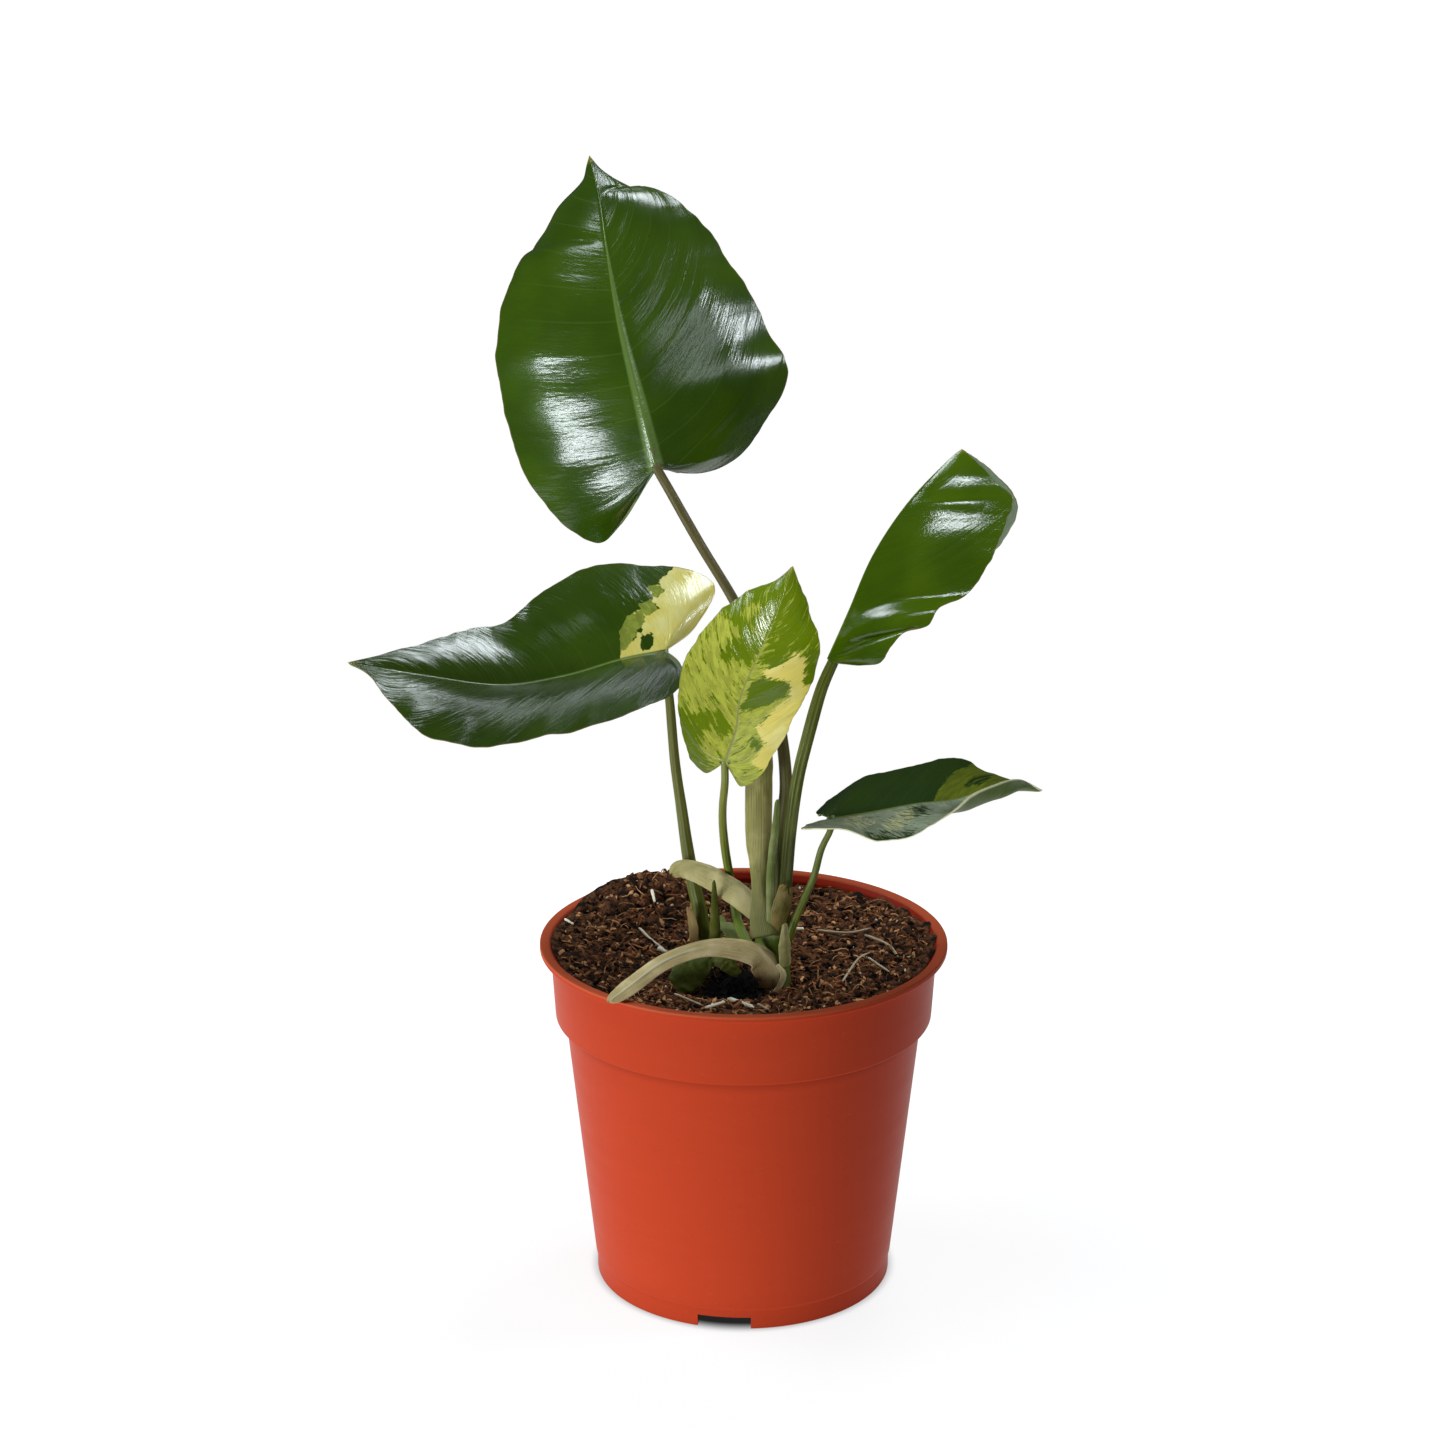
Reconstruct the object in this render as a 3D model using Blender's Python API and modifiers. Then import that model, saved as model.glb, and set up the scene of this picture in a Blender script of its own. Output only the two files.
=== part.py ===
"""Variegated arrow-leaved philodendron with five leaves, in a plastic nursery pot.

Lengths are in millimetres in the pot's own frame: the pot's axis is the Z axis, its foot
stands at Z = 0, X runs to the right and Y away from the front. MM turns them into metres.
The last step moves the whole plant so that the origin is the middle of its footprint.
"""

import math

import bmesh
import bpy
import numpy as np
from mathutils import Matrix, Vector, noise

MM = 0.001
GAP = 0.3

# Pot
POT_HEIGHT = 105.0
LIP_RADIUS = 60.0
LIP_THICKNESS = 1.8
LIP_EDGE = 0.5
LIP_INSIDE_RADIUS = 57.2
FLARE_HEIGHT = 2.1
COLLAR_TOP_RADIUS = 56.9
COLLAR_BOTTOM_RADIUS = 55.6
COLLAR_BOTTOM = 82.5
COLLAR_EDGE = 0.7
STEP_HEIGHT = 3.0
BODY_RADIUS = 52.7
FOOT_RADIUS = 44.0
FOOT_HEIGHT = 6.0
FOOT_SEAM = 0.5
FOOT_EDGE = 0.4
FOOT_RING_WIDTH = 2.2
WALL = 1.3
FLOOR_UNDERSIDE = 4.6
FLOOR_TOP = 5.8
STEP_BOTTOM = COLLAR_BOTTOM - STEP_HEIGHT / 2
STEP_TOP = COLLAR_BOTTOM + STEP_HEIGHT / 2
FLARE_BOTTOM = POT_HEIGHT - FLARE_HEIGHT
NOTCH_WIDTH = 15.7
NOTCH_HEIGHT = 3.7
NOTCH_DEPTH = 8.0
NOTCH_ANGLES = (-97.6, 22.4, 142.4)
DRAIN_DIAMETER = 7.0
DRAIN_RING_RADIUS = 26.0
DRAIN_COUNT = 6
DRAIN_SEGMENTS = 16
POT_SEGMENTS = 60

# Soil
SOIL_RINGS = 14
SOIL_LEVEL = 100.2
SOIL_SIDE_RISE = 4.0
SOIL_BACK_RISE = 1.0
SOIL_BRINK = 0.8
EDGE_TRIES = 4
MOUND_CENTRE = (-26.0, 36.0)
MOUND_SPREAD = (20.0, 14.0)
MOUND_HEIGHT = 9.0
HOLLOW_CENTRE = (-6.0, -23.0)
HOLLOW_SPREAD = (17.0, 9.0)
HOLLOW_DEPTH = 4.5
CRUMB_SIZE = 5.0
CRUMB_HEIGHT = 1.3

# Shoots, which stand in plain round holes
STEM_FOOT = (11.0, -21.0, 76.0)
STEM_RADIUS = 2.7
STEM_TOP = (8.2, -17.0, 116.3)
NODE_NECK_RADIUS = 3.0
NODE_RADIUS = 5.0
NODE_TOP_RADIUS = 4.7
SIDE_SHOOT_FOOT = (-12.0, 5.0, 80.0)
SIDE_SHOOT_TOP = (-11.5, 5.0, 103.5)
SIDE_SHOOT_RADIUS = 3.2
HOLE_CLEARANCE = 0.5
HOLE_SEGMENTS = 20

# Leaves
BLADE = 0.8
RIB_THICKNESS = 2.2
RIB_HALF_WIDTH = 2.2
RIPPLE_STEP = 2.4


def smooth(points, count, steps_between=16):
    """Return count points evenly spaced on the smooth curve through the points given."""
    knots = np.array(points, float)
    knots = np.vstack([2 * knots[0] - knots[1], knots, 2 * knots[-1] - knots[-2]])
    steps = np.linspace(0, 1, steps_between, endpoint=False)[:, None]
    pieces = []
    for a, b, c, d in zip(knots, knots[1:], knots[2:], knots[3:]):
        cubic = (3 * b - 3 * c + d - a) * steps**3 + (2 * a - 5 * b + 4 * c - d) * steps**2
        pieces.append(b + 0.5 * (cubic + (c - a) * steps))
    dense = np.vstack(pieces + [knots[-2:-1]])
    travelled = np.append(0, np.cumsum(np.linalg.norm(np.diff(dense, axis=0), axis=1)))
    stations = np.linspace(0, travelled[-1], count)
    return np.stack([np.interp(stations, travelled, axis) for axis in dense.T], axis=1)


def unit(vector):
    """Return the vector at length one."""
    return vector / max(np.linalg.norm(vector), 1e-9)


def clear_scene():
    """Remove whatever the new file holds."""
    for item in list(bpy.data.objects):
        bpy.data.objects.remove(item, do_unlink=True)


def new_collection(name):
    """Add a collection to the scene."""
    collection = bpy.data.collections.new(name)
    bpy.context.scene.collection.children.link(collection)
    return collection


def paint(name, colour, roughness):
    """Make a plain material of one colour."""
    material = bpy.data.materials.new(name)
    material.use_nodes = True
    shader = material.node_tree.nodes["Principled BSDF"]
    shader.inputs["Base Color"].default_value = (*colour, 1.0)
    shader.inputs["Roughness"].default_value = roughness
    shader.inputs["Metallic"].default_value = 0.0
    return material


def add_object(name, data, material=None):
    """Put an object in the plant's collection, under the empty that carries it."""
    item = bpy.data.objects.new(name, data)
    PLANT.objects.link(item)
    item.parent = CARRIER
    if material:
        data.materials.append(material)
    return item


def mesh_from(name, vertices, faces):
    """Make a smooth-shaded mesh from points in millimetres."""
    mesh = bpy.data.meshes.new(name)
    mesh.from_pydata([tuple(Vector(point) * MM) for point in vertices], [], faces)
    mesh.update()
    mesh.shade_smooth()
    return mesh


def add_cutter(item):
    """Move an object to the cutters, which are guides and not parts."""
    for collection in list(item.users_collection):
        collection.objects.unlink(item)
    CUTTERS.objects.link(item)
    item.parent = CARRIER
    item.hide_render = True
    item.display_type = "WIRE"
    return item


def cut(item, cutter):
    """Take the cutter's shape out of the item."""
    boolean = item.modifiers.new(cutter.name, "BOOLEAN")
    boolean.operation = "DIFFERENCE"
    boolean.solver = "EXACT"
    boolean.object = cutter


def cylinder_cutter(name, radius, bottom, top, x, y, segments):
    """Make an upright cylinder to cut a round hole with."""
    shape = bmesh.new()
    bmesh.ops.create_cone(
        shape, cap_ends=True, segments=segments,
        radius1=radius * MM, radius2=radius * MM, depth=(top - bottom) * MM,
    )
    mesh = bpy.data.meshes.new(name)
    shape.to_mesh(mesh)
    shape.free()
    item = bpy.data.objects.new(name, mesh)
    item.location = Vector((x, y, (top + bottom) / 2)) * MM
    return add_cutter(item)


def box_cutter(name, size, centre, turn):
    """Make a box to cut a notch with, turned about the pot's axis."""
    shape = bmesh.new()
    bmesh.ops.create_cube(shape, size=1.0, matrix=Matrix.Diagonal((*(Vector(size) * MM), 1.0)))
    mesh = bpy.data.meshes.new(name)
    shape.to_mesh(mesh)
    shape.free()
    item = bpy.data.objects.new(name, mesh)
    spin = Matrix.Rotation(turn, 4, "Z")
    item.location = spin @ (Vector(centre) * MM)
    item.rotation_euler = (0, 0, turn)
    return add_cutter(item)


def wall_inside(height):
    """Return the radius of the pot's inner wall at a height; it flares out at the lip."""
    knots = (
        (FLOOR_TOP, FOOT_RADIUS - WALL),
        (STEP_BOTTOM, BODY_RADIUS - WALL),
        (STEP_TOP, COLLAR_BOTTOM_RADIUS - WALL),
        (FLARE_BOTTOM, COLLAR_TOP_RADIUS - WALL),
        (POT_HEIGHT, LIP_INSIDE_RADIUS),
    )
    return float(np.interp(height, *zip(*knots)))


def pot_profile():
    """Return the pot's half section: up the inside, over the lip and down the outside."""
    lip_bottom = POT_HEIGHT - LIP_THICKNESS
    inside = [(wall_inside(z), z) for z in (FLOOR_TOP, STEP_BOTTOM, STEP_TOP, FLARE_BOTTOM)]
    lip = [
        (LIP_INSIDE_RADIUS, POT_HEIGHT),
        (LIP_RADIUS - LIP_EDGE, POT_HEIGHT),
        (LIP_RADIUS, POT_HEIGHT - LIP_EDGE),
        (LIP_RADIUS, lip_bottom + LIP_EDGE),
        (LIP_RADIUS - LIP_EDGE, lip_bottom),
        (COLLAR_TOP_RADIUS, lip_bottom),
    ]
    outside = [
        (COLLAR_BOTTOM_RADIUS, COLLAR_BOTTOM + COLLAR_EDGE),
        (COLLAR_BOTTOM_RADIUS - COLLAR_EDGE, COLLAR_BOTTOM),
        (BODY_RADIUS, COLLAR_BOTTOM - COLLAR_EDGE),
        (FOOT_RADIUS + FOOT_SEAM, FOOT_HEIGHT + FOOT_SEAM),
        (FOOT_RADIUS, FOOT_HEIGHT),
        (FOOT_RADIUS, FOOT_EDGE),
        (FOOT_RADIUS - FOOT_EDGE, 0.0),
        (FOOT_RADIUS - FOOT_RING_WIDTH, 0.0),
        (FOOT_RADIUS - FOOT_RING_WIDTH, FLOOR_UNDERSIDE),
    ]
    return [(0.0, FLOOR_TOP)] + inside + lip + outside + [(0.0, FLOOR_UNDERSIDE)]


def make_pot():
    """Turn the pot from its half section, then cut its foot notches and drain holes."""
    profile = [(radius, 0.0, height) for radius, height in pot_profile()]
    mesh = bpy.data.meshes.new("pot")
    edges = [(index, index + 1) for index in range(len(profile) - 1)]
    mesh.from_pydata([tuple(Vector(point) * MM) for point in profile], edges, [])
    pot = add_object("pot", mesh, paint("terracotta_plastic", (0.55, 0.09, 0.035), 0.45))
    screw = pot.modifiers.new("turn", "SCREW")
    screw.steps = POT_SEGMENTS
    screw.render_steps = POT_SEGMENTS
    screw.use_merge_vertices = True
    screw.merge_threshold = 0.00001
    notch_size = (NOTCH_DEPTH, NOTCH_WIDTH, 2 * NOTCH_HEIGHT)
    for index, degrees in enumerate(NOTCH_ANGLES):
        name = f"notch_cutter_{index}"
        cut(pot, box_cutter(name, notch_size, (FOOT_RADIUS, 0, 0), math.radians(degrees)))
    spots = [(0.0, 0.0)]
    for index in range(DRAIN_COUNT):
        angle = 2 * math.pi * index / DRAIN_COUNT
        spots.append((DRAIN_RING_RADIUS * math.cos(angle), DRAIN_RING_RADIUS * math.sin(angle)))
    above = FLOOR_TOP + FLOOR_UNDERSIDE / 2
    for index, (x, y) in enumerate(spots):
        name = f"drain_cutter_{index}"
        radius = DRAIN_DIAMETER / 2
        cut(pot, cylinder_cutter(name, radius, FLOOR_UNDERSIDE / 2, above, x, y, DRAIN_SEGMENTS))
    return pot


def hill(x, y, centre, spread):
    """Return a rounded hill of height one at its centre."""
    return math.exp(-(((x - centre[0]) / spread[0]) ** 2) - ((y - centre[1]) / spread[1]) ** 2)


def soil_height(x, y):
    """Return the soil's height: higher at the sides, a mound at the back left, a hollow."""
    radius = wall_inside(SOIL_LEVEL)
    height = SOIL_LEVEL + SOIL_SIDE_RISE * (x / radius) ** 2 + SOIL_BACK_RISE * y / radius
    height += MOUND_HEIGHT * hill(x, y, MOUND_CENTRE, MOUND_SPREAD)
    height -= HOLLOW_DEPTH * hill(x, y, HOLLOW_CENTRE, HOLLOW_SPREAD)
    crumbs = noise.noise(Vector((x, y, 0.0)) / CRUMB_SIZE)
    return height + CRUMB_HEIGHT * crumbs


def soil_ring(radius_at, height_at):
    """Return one closed ring of soil points, its radius given by the angle."""
    ring = []
    for step in range(POT_SEGMENTS):
        angle = 2 * math.pi * step / POT_SEGMENTS
        radius = radius_at(angle)
        x = radius * math.cos(angle)
        y = radius * math.sin(angle)
        ring.append((x, y, height_at(x, y)))
    return ring


def soil_edge(angle):
    """Return the radius where the soil's surface meets the pot's flared wall."""
    radius = wall_inside(SOIL_LEVEL)
    for _ in range(EDGE_TRIES):
        height = soil_height(radius * math.cos(angle), radius * math.sin(angle))
        radius = wall_inside(height - SOIL_BRINK / 2) - GAP
    return radius


def soil_brink(x, y):
    """Return the height where the soil's brink meets the wall below the flare."""
    return min(soil_height(x, y) - SOIL_BRINK, FLARE_BOTTOM)


def make_soil():
    """Fill the pot with soil: rings over its surface, then rings down the wall."""
    rings = []
    for index in range(1, SOIL_RINGS + 1):
        share = index / SOIL_RINGS
        rings.append(soil_ring(lambda angle: share * soil_edge(angle), soil_height))
    rings.append(soil_ring(lambda angle: wall_inside(SOIL_LEVEL) - 2 * GAP, soil_brink))
    bottom = FLOOR_TOP + GAP
    for height in (STEP_TOP, STEP_BOTTOM, bottom):
        radius = wall_inside(height) - GAP
        rings.append(soil_ring(lambda angle: radius, lambda x, y: height))
    top_centre = (0.0, 0.0, soil_height(0.0, 0.0))
    vertices = [top_centre] + [point for ring in rings for point in ring] + [(0.0, 0.0, bottom)]
    faces = []
    last = len(vertices) - 1
    for step in range(POT_SEGMENTS):
        after = (step + 1) % POT_SEGMENTS
        faces.append((0, 1 + step, 1 + after))
        for ring in range(len(rings) - 1):
            inner = 1 + ring * POT_SEGMENTS
            outer = inner + POT_SEGMENTS
            faces.append((inner + step, outer + step, outer + after))
            faces.append((inner + step, outer + after, inner + after))
        rim = 1 + (len(rings) - 1) * POT_SEGMENTS
        faces.append((rim + step, last, rim + after))
    brown = paint("soil", (0.05, 0.025, 0.015), 0.95)
    soil = add_object("soil", mesh_from("soil", vertices, faces), brown)
    holes = (
        ("stem_hole", STEM_FOOT, STEM_RADIUS),
        ("side_shoot_hole", SIDE_SHOOT_FOOT, SIDE_SHOOT_RADIUS),
    )
    above = POT_HEIGHT + MOUND_HEIGHT
    for name, (x, y, foot), radius in holes:
        wide = radius + HOLE_CLEARANCE
        cut(soil, cylinder_cutter(name, wide, foot - GAP, above, x, y, HOLE_SEGMENTS))
    return soil


def add_stalk(name, route, radii, material, samples=14, sides=3):
    """Make a round stalk along the smooth curve through a route, with its radius changing."""
    curve = bpy.data.curves.new(name, "CURVE")
    curve.dimensions = "3D"
    curve.bevel_depth = MM
    curve.bevel_resolution = sides
    curve.use_fill_caps = True
    spline = curve.splines.new("POLY")
    spline.use_smooth = True
    spline.points.add(samples - 1)
    widths = np.interp(np.linspace(0, 1, samples), np.linspace(0, 1, len(radii)), radii)
    for knot, place, width in zip(spline.points, smooth(route, samples), widths):
        knot.co = (*(Vector(place) * MM), 1.0)
        knot.radius = width
    return add_object(name, curve, material)


def leaf_half(rib, margin, side, rows, fan, columns, arch, ripple):
    """Return the points of one half of a blade, a row for each side vein.

    The first rows fan out from the stalk into the lobe, and the rest leave the rib one
    after another. arch lifts the middle of each vein, and ripple waves the margin.
    """
    edge = smooth(margin, rows + 1)
    spine = smooth(rib, rows - fan + 1)
    ahead = np.gradient(edge, axis=0)
    half = []
    for row in range(rows + 1):
        root = spine[max(row - fan, 0)]
        vein = edge[row] - root
        upward = side * np.cross(vein, unit(ahead[row]))
        wave = ripple * math.sin(RIPPLE_STEP * row)
        line = []
        for column in range(1, columns + 1):
            share = column / columns
            lift = arch * math.sin(math.pi * share) + wave * share**2
            line.append(root + vein * share + upward * lift)
        half.append(line)
    return spine, half


def add_leaf(name, leaf, material, rows=24, fan=7, columns=5):
    """Make a leaf blade from its rib and its two margins, and thicken it."""
    halves = []
    for side, margin in ((-1, leaf["left"]), (1, leaf["right"])):
        margin = margin + [leaf["rib"][-1]]
        arch, ripple = leaf["arch"], leaf["ripple"]
        spine, half = leaf_half(leaf["rib"], margin, side, rows, fan, columns, arch, ripple)
        halves.append(half)
    vertices = [tuple(point) for point in spine]
    ribs = [max(row - fan, 0) for row in range(rows + 1)]
    weights = {index: 1 - index / len(spine) for index in range(len(spine))}
    faces = []
    for half, flip in zip(halves, (True, False)):
        index_of = {}
        for row in range(rows):
            index_of[row, 0] = ribs[row]
            for column in range(1, columns + 1):
                index_of[row, column] = len(vertices)
                point = half[row][column - 1]
                away = np.linalg.norm(point - spine[ribs[row]]) / RIB_HALF_WIDTH
                weights[len(vertices)] = max(0.0, 1 - away) * weights[ribs[row]]
                vertices.append(tuple(point))
        for column in range(columns + 1):
            index_of[rows, column] = len(spine) - 1
        for row in range(rows):
            for column in range(columns):
                loop = []
                for down, along in ((0, 0), (0, 1), (1, 1), (1, 0)):
                    corner = (row + down, column + along)
                    if index_of[corner] not in loop:
                        loop.append(index_of[corner])
                faces.append(loop[::-1] if flip else loop)
    blade = add_object(name, mesh_from(name, vertices, faces), material)
    group = blade.vertex_groups.new(name="rib")
    for index, weight in weights.items():
        group.add([index], weight, "REPLACE")
    blade.location = Vector(leaf["place"]) * MM
    blade.rotation_euler = [math.radians(angle) for angle in leaf["turn"]]
    blade.modifiers.new("split", "TRIANGULATE").quad_method = "FIXED"
    thicken = blade.modifiers.new("thickness", "SOLIDIFY")
    thicken.thickness = RIB_THICKNESS * MM
    thicken.offset = leaf["grow"]
    thicken.vertex_group = "rib"
    thicken.thickness_vertex_group = BLADE / RIB_THICKNESS
    return blade


def add_sheath(name, spine, widths, outward, wrap, material, rows=11, columns=4, thickness=0.7):
    """Make a papery sheath: a strip that curls round its spine, away from outward."""
    line = smooth(spine, rows + 1)
    spread = np.interp(np.linspace(0, 1, rows + 1), np.linspace(0, 1, len(widths)), widths)
    along = np.gradient(line, axis=0)
    half_wrap = math.radians(wrap) / 2
    vertices = []
    for centre, width, tangent in zip(line, spread, along):
        sideways = unit(np.cross(unit(tangent), outward))
        out = np.cross(sideways, unit(tangent))
        radius = width / (2 * math.sin(half_wrap))
        for column in range(columns + 1):
            angle = half_wrap * (2 * column / columns - 1)
            across = radius * math.sin(angle)
            back = radius * (1 - math.cos(angle))
            vertices.append(tuple(centre + sideways * across - out * back))
    faces = []
    for row in range(rows):
        for column in range(columns):
            corner = row * (columns + 1) + column
            above = corner + columns + 1
            faces.append((corner, corner + 1, above + 1, above))
    sheath = add_object(name, mesh_from(name, vertices, faces), material)
    sheath.modifiers.new("split", "TRIANGULATE").quad_method = "FIXED"
    thicken = sheath.modifiers.new("thickness", "SOLIDIFY")
    thicken.thickness = thickness * MM
    thicken.offset = 0.0
    return sheath


# Each blade in its own frame: X across to the right, Y along the rib from the stalk to the
# tip, Z up from the upper face. The margins run from the stalk round the lobe to the tip.
LEAVES = {
    "leaf_top": {
        "place": (-25.0, 5.0, 246.5), "turn": (61, -10, 6), "arch": 0.10, "ripple": 0.012, "grow": -1,
        "rib": [
            (0, 0, 0), (-1, 18.5, 5.5), (-2, 41, 9), (-1.5, 63, 9), (-0.5, 79, 5.5), (-0.5, 95, -1),
        ],
        "left": [
            (-1.5, 0, -1.5), (-8, -6.5, -9), (-18.5, -13.5, -21), (-27, -7.5, -23), (-36, 8, -20.5),
            (-39, 25, -15.5), (-37.5, 47, -9), (-29, 66, -6), (-21, 74, -6.5), (-11.5, 84.5, -5.5),
            (-3, 92.5, -3.5),
        ],
        "right": [
            (2, 0, -2), (10, 1.5, -19.5), (20, 3, -27), (30, 8.5, -24), (43, 22, -15), (40, 36.5, -10),
            (35, 53, -6.5), (27.5, 69, -3.5), (19.5, 80, -3), (12.5, 83.5, -4.5), (5, 89.5, -4.5),
        ],
    },
    "leaf_left": {
        "place": (-23.0, 8.0, 191.0), "turn": (1, -24, 101), "arch": 0.06, "ripple": 0.012, "grow": -1,
        "rib": [
            (0, 0, 0), (0.5, 12.5, -3), (-2, 29, -6), (-3, 48, -7.5), (-2, 69.5, -3.5), (0.5, 91.5, 0.5),
        ],
        "left": [
            (-3, -0.5, 1.5), (-12, -2.5, 4.5), (-19.5, -2, 4.5), (-26.5, 7.5, 4), (-32.5, 24, 2.5),
            (-34.5, 40, 0.5), (-34.5, 56.5, -2.5), (-28, 71.5, -3.5), (-15, 81, -1.5), (-4.5, 86, 0),
        ],
        "right": [
            (2.5, -2, -1), (9, -10, 0), (20.5, -18, 4.5), (28, -15, 5.5), (33.5, -2.5, 4.5),
            (36.5, 11.5, 3.5), (34.5, 24, 0.5), (29.5, 33.5, -2.5), (23, 43, -5.5), (16, 59, -3.5),
            (5.5, 78, -0.5),
        ],
    },
    "leaf_centre": {
        "place": (-5.5, -27.0, 169.0), "turn": (81, 20, 4), "arch": 0.08, "ripple": 0.012, "grow": -1,
        "rib": [
            (0, 0, 0), (-0.5, 10, 2), (-2.5, 19, 3.5), (-2, 30.5, 4.5), (-0.5, 43, 3), (0, 58.5, -0.5),
        ],
        "left": [
            (-1.5, -1, -1.5), (-3.5, -5, -3), (-9, -2.5, -5), (-16, 8, -5.5), (-19.5, 22, -5.5),
            (-16.5, 35.5, -5), (-9.5, 47, -4.5), (-3, 53, -2.5),
        ],
        "right": [
            (1.5, -0.5, -1), (7, -5.5, -2.5), (12, 0, -4.5), (15, 13.5, -5.5), (17, 28, -6),
            (16, 38.5, -6), (11, 46, -5), (4, 54, -3),
        ],
    },
    "leaf_right": {
        "place": (24.0, -14.0, 195.0), "turn": (59, 2, -81), "arch": 0.08, "ripple": 0.012, "grow": 1,
        "rib": [
            (0, 0, 0), (0, 14.5, 2), (-0.5, 32, 4.5), (-0.5, 49.5, 4), (-1, 65.5, 0.5), (-0.5, 70.5, -1),
        ],
        "left": [
            (-2, 0, -1.5), (-11.5, 4, -10), (-16, 11, -17.5), (-19.5, 25.5, -23.5), (-19.5, 41, -29),
            (-17, 53, -30.5), (-13, 62.5, -27.5), (-9, 67, -19), (-3.5, 69.5, -7.5),
        ],
        "right": [
            (2, 0, -1), (7, 4.5, -5.5), (12, 9, -9.5), (15.5, 19, -9.5), (17.5, 25, -14), (18, 31, -14),
            (17, 38.5, -19), (16, 52.5, -19.5), (14, 60, -18), (12, 67, -17), (7, 68.5, -9.5),
            (1, 70.5, -2.5),
        ],
    },
    "leaf_low": {
        "place": (25.0, -20.0, 149.5), "turn": (6, 8, -82), "arch": 0.06, "ripple": 0.012, "grow": -1,
        "rib": [
            (0, 0, 0), (0.5, 11, 0.5), (1, 24, 1.5), (0.5, 36, 1), (-0.5, 47.5, 2.5), (-0.5, 61.5, -0.5),
        ],
        "left": [
            (-2, -1, 0), (-6.5, -3.5, -0.5), (-12, 3, 1), (-15.5, 11.5, 3.5), (-16, 23, 4.5),
            (-16.5, 39, 5.5), (-10, 47, 3), (-4.5, 54.5, 1.5),
        ],
        "right": [
            (2, -1.5, 0.5), (7.5, -10, 2.5), (11, 1, 2.5), (15.5, 11, -0.5), (15, 21, -0.5),
            (11, 32.5, 3), (6.5, 41.5, 6), (1, 53.5, 5),
        ],
    },
}


def make_leaves():
    """Make the five blades."""
    dark = paint("leaf_green", (0.04, 0.11, 0.02), 0.25)
    lime = paint("leaf_lime", (0.32, 0.42, 0.07), 0.3)
    for name, leaf in LEAVES.items():
        small = name in ("leaf_centre", "leaf_low")
        rows, fan, columns = (20, 5, 4) if small else (24, 7, 5)
        add_leaf(name, leaf, lime if name == "leaf_centre" else dark, rows, fan, columns)


def make_stalks():
    """Make the five leaf stalks, each from its foot up to its blade."""
    brown = paint("stalk_brown", (0.13, 0.10, 0.03), 0.5)
    olive = paint("stalk_olive", (0.16, 0.17, 0.02), 0.5)
    green = paint("stalk_green", (0.07, 0.11, 0.02), 0.5)
    add_stalk("stalk_top", [
        (9.6, -13.2, 117), (10.8, -13, 144), (12, -12, 156), (11, -11, 169), (8.8, -9, 180),
        (3.5, -6, 196), (-3, -3, 209.5), (-12.5, 0, 225), (-21, 3.2, 239.6), (-23.7, 4.2, 244.3),
    ], (1.9, 1.8, 1.5, 1.4, 1.3), brown, samples=20)
    add_stalk("stalk_left", [
        (-11.6, 5, 104.3), (-12.8, 6, 111), (-14.8, 7.3, 119.5), (-16.6, 8.5, 130), (-18.3, 9.5, 142.5),
        (-20.2, 10, 157), (-21.5, 9.8, 174), (-22.3, 9, 182), (-22.9, 8.2, 188.6),
    ], (2.1, 1.8, 1.5, 1.3, 1.1), olive, samples=18)
    add_stalk("stalk_centre", [
        (5, -16.2, 105.2), (1.6, -12, 107.5), (-1.4, -5, 111.5), (-2.7, -2.6, 117), (-4.6, -3.4, 128.7),
        (-5.5, -7.4, 136.4), (-6.1, -14, 145.6), (-6.1, -20, 153.8), (-5.5, -25, 162.5),
        (-5.4, -26, 166.8),
    ], (1.4, 1.3, 1.2, 1.1, 1.0), olive, samples=20)
    add_stalk("stalk_right", [
        (11.2, -18.2, 117), (12.1, -19, 131), (13.2, -19, 146), (15.2, -18, 161), (18.2, -17, 174),
        (21.7, -15, 186.5), (23.9, -14.1, 194.2),
    ], (1.7, 1.6, 1.6, 1.6, 1.4), green, samples=16)
    add_stalk("stalk_low", [
        (13.4, -21, 114.5), (14.5, -20.8, 118.5), (17.2, -20.2, 125), (20, -20, 132), (22, -20, 140),
        (24.2, -20, 145), (24.8, -20.2, 147),
    ], (1.1, 1.1, 1.0, 0.9, 0.8), green, samples=14)


def make_shoots():
    """Make the main stem with its swollen node and the short side shoot."""
    green = paint("stem_green", (0.06, 0.12, 0.02), 0.5)
    straight = (STEM_RADIUS,) * 5
    add_stalk("stem_main", [
        STEM_FOOT, (11, -21, 88), (11, -21, 98), (10.2, -19.6, 104.5), (8.4, -17.4, 111), STEM_TOP,
    ], straight + (NODE_NECK_RADIUS, NODE_RADIUS, NODE_TOP_RADIUS), green, samples=18)
    add_stalk("stem_side", [
        SIDE_SHOOT_FOOT, (-12, 5, 92), SIDE_SHOOT_TOP,
    ], (SIDE_SHOOT_RADIUS,) * 3, green, samples=4)


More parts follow.
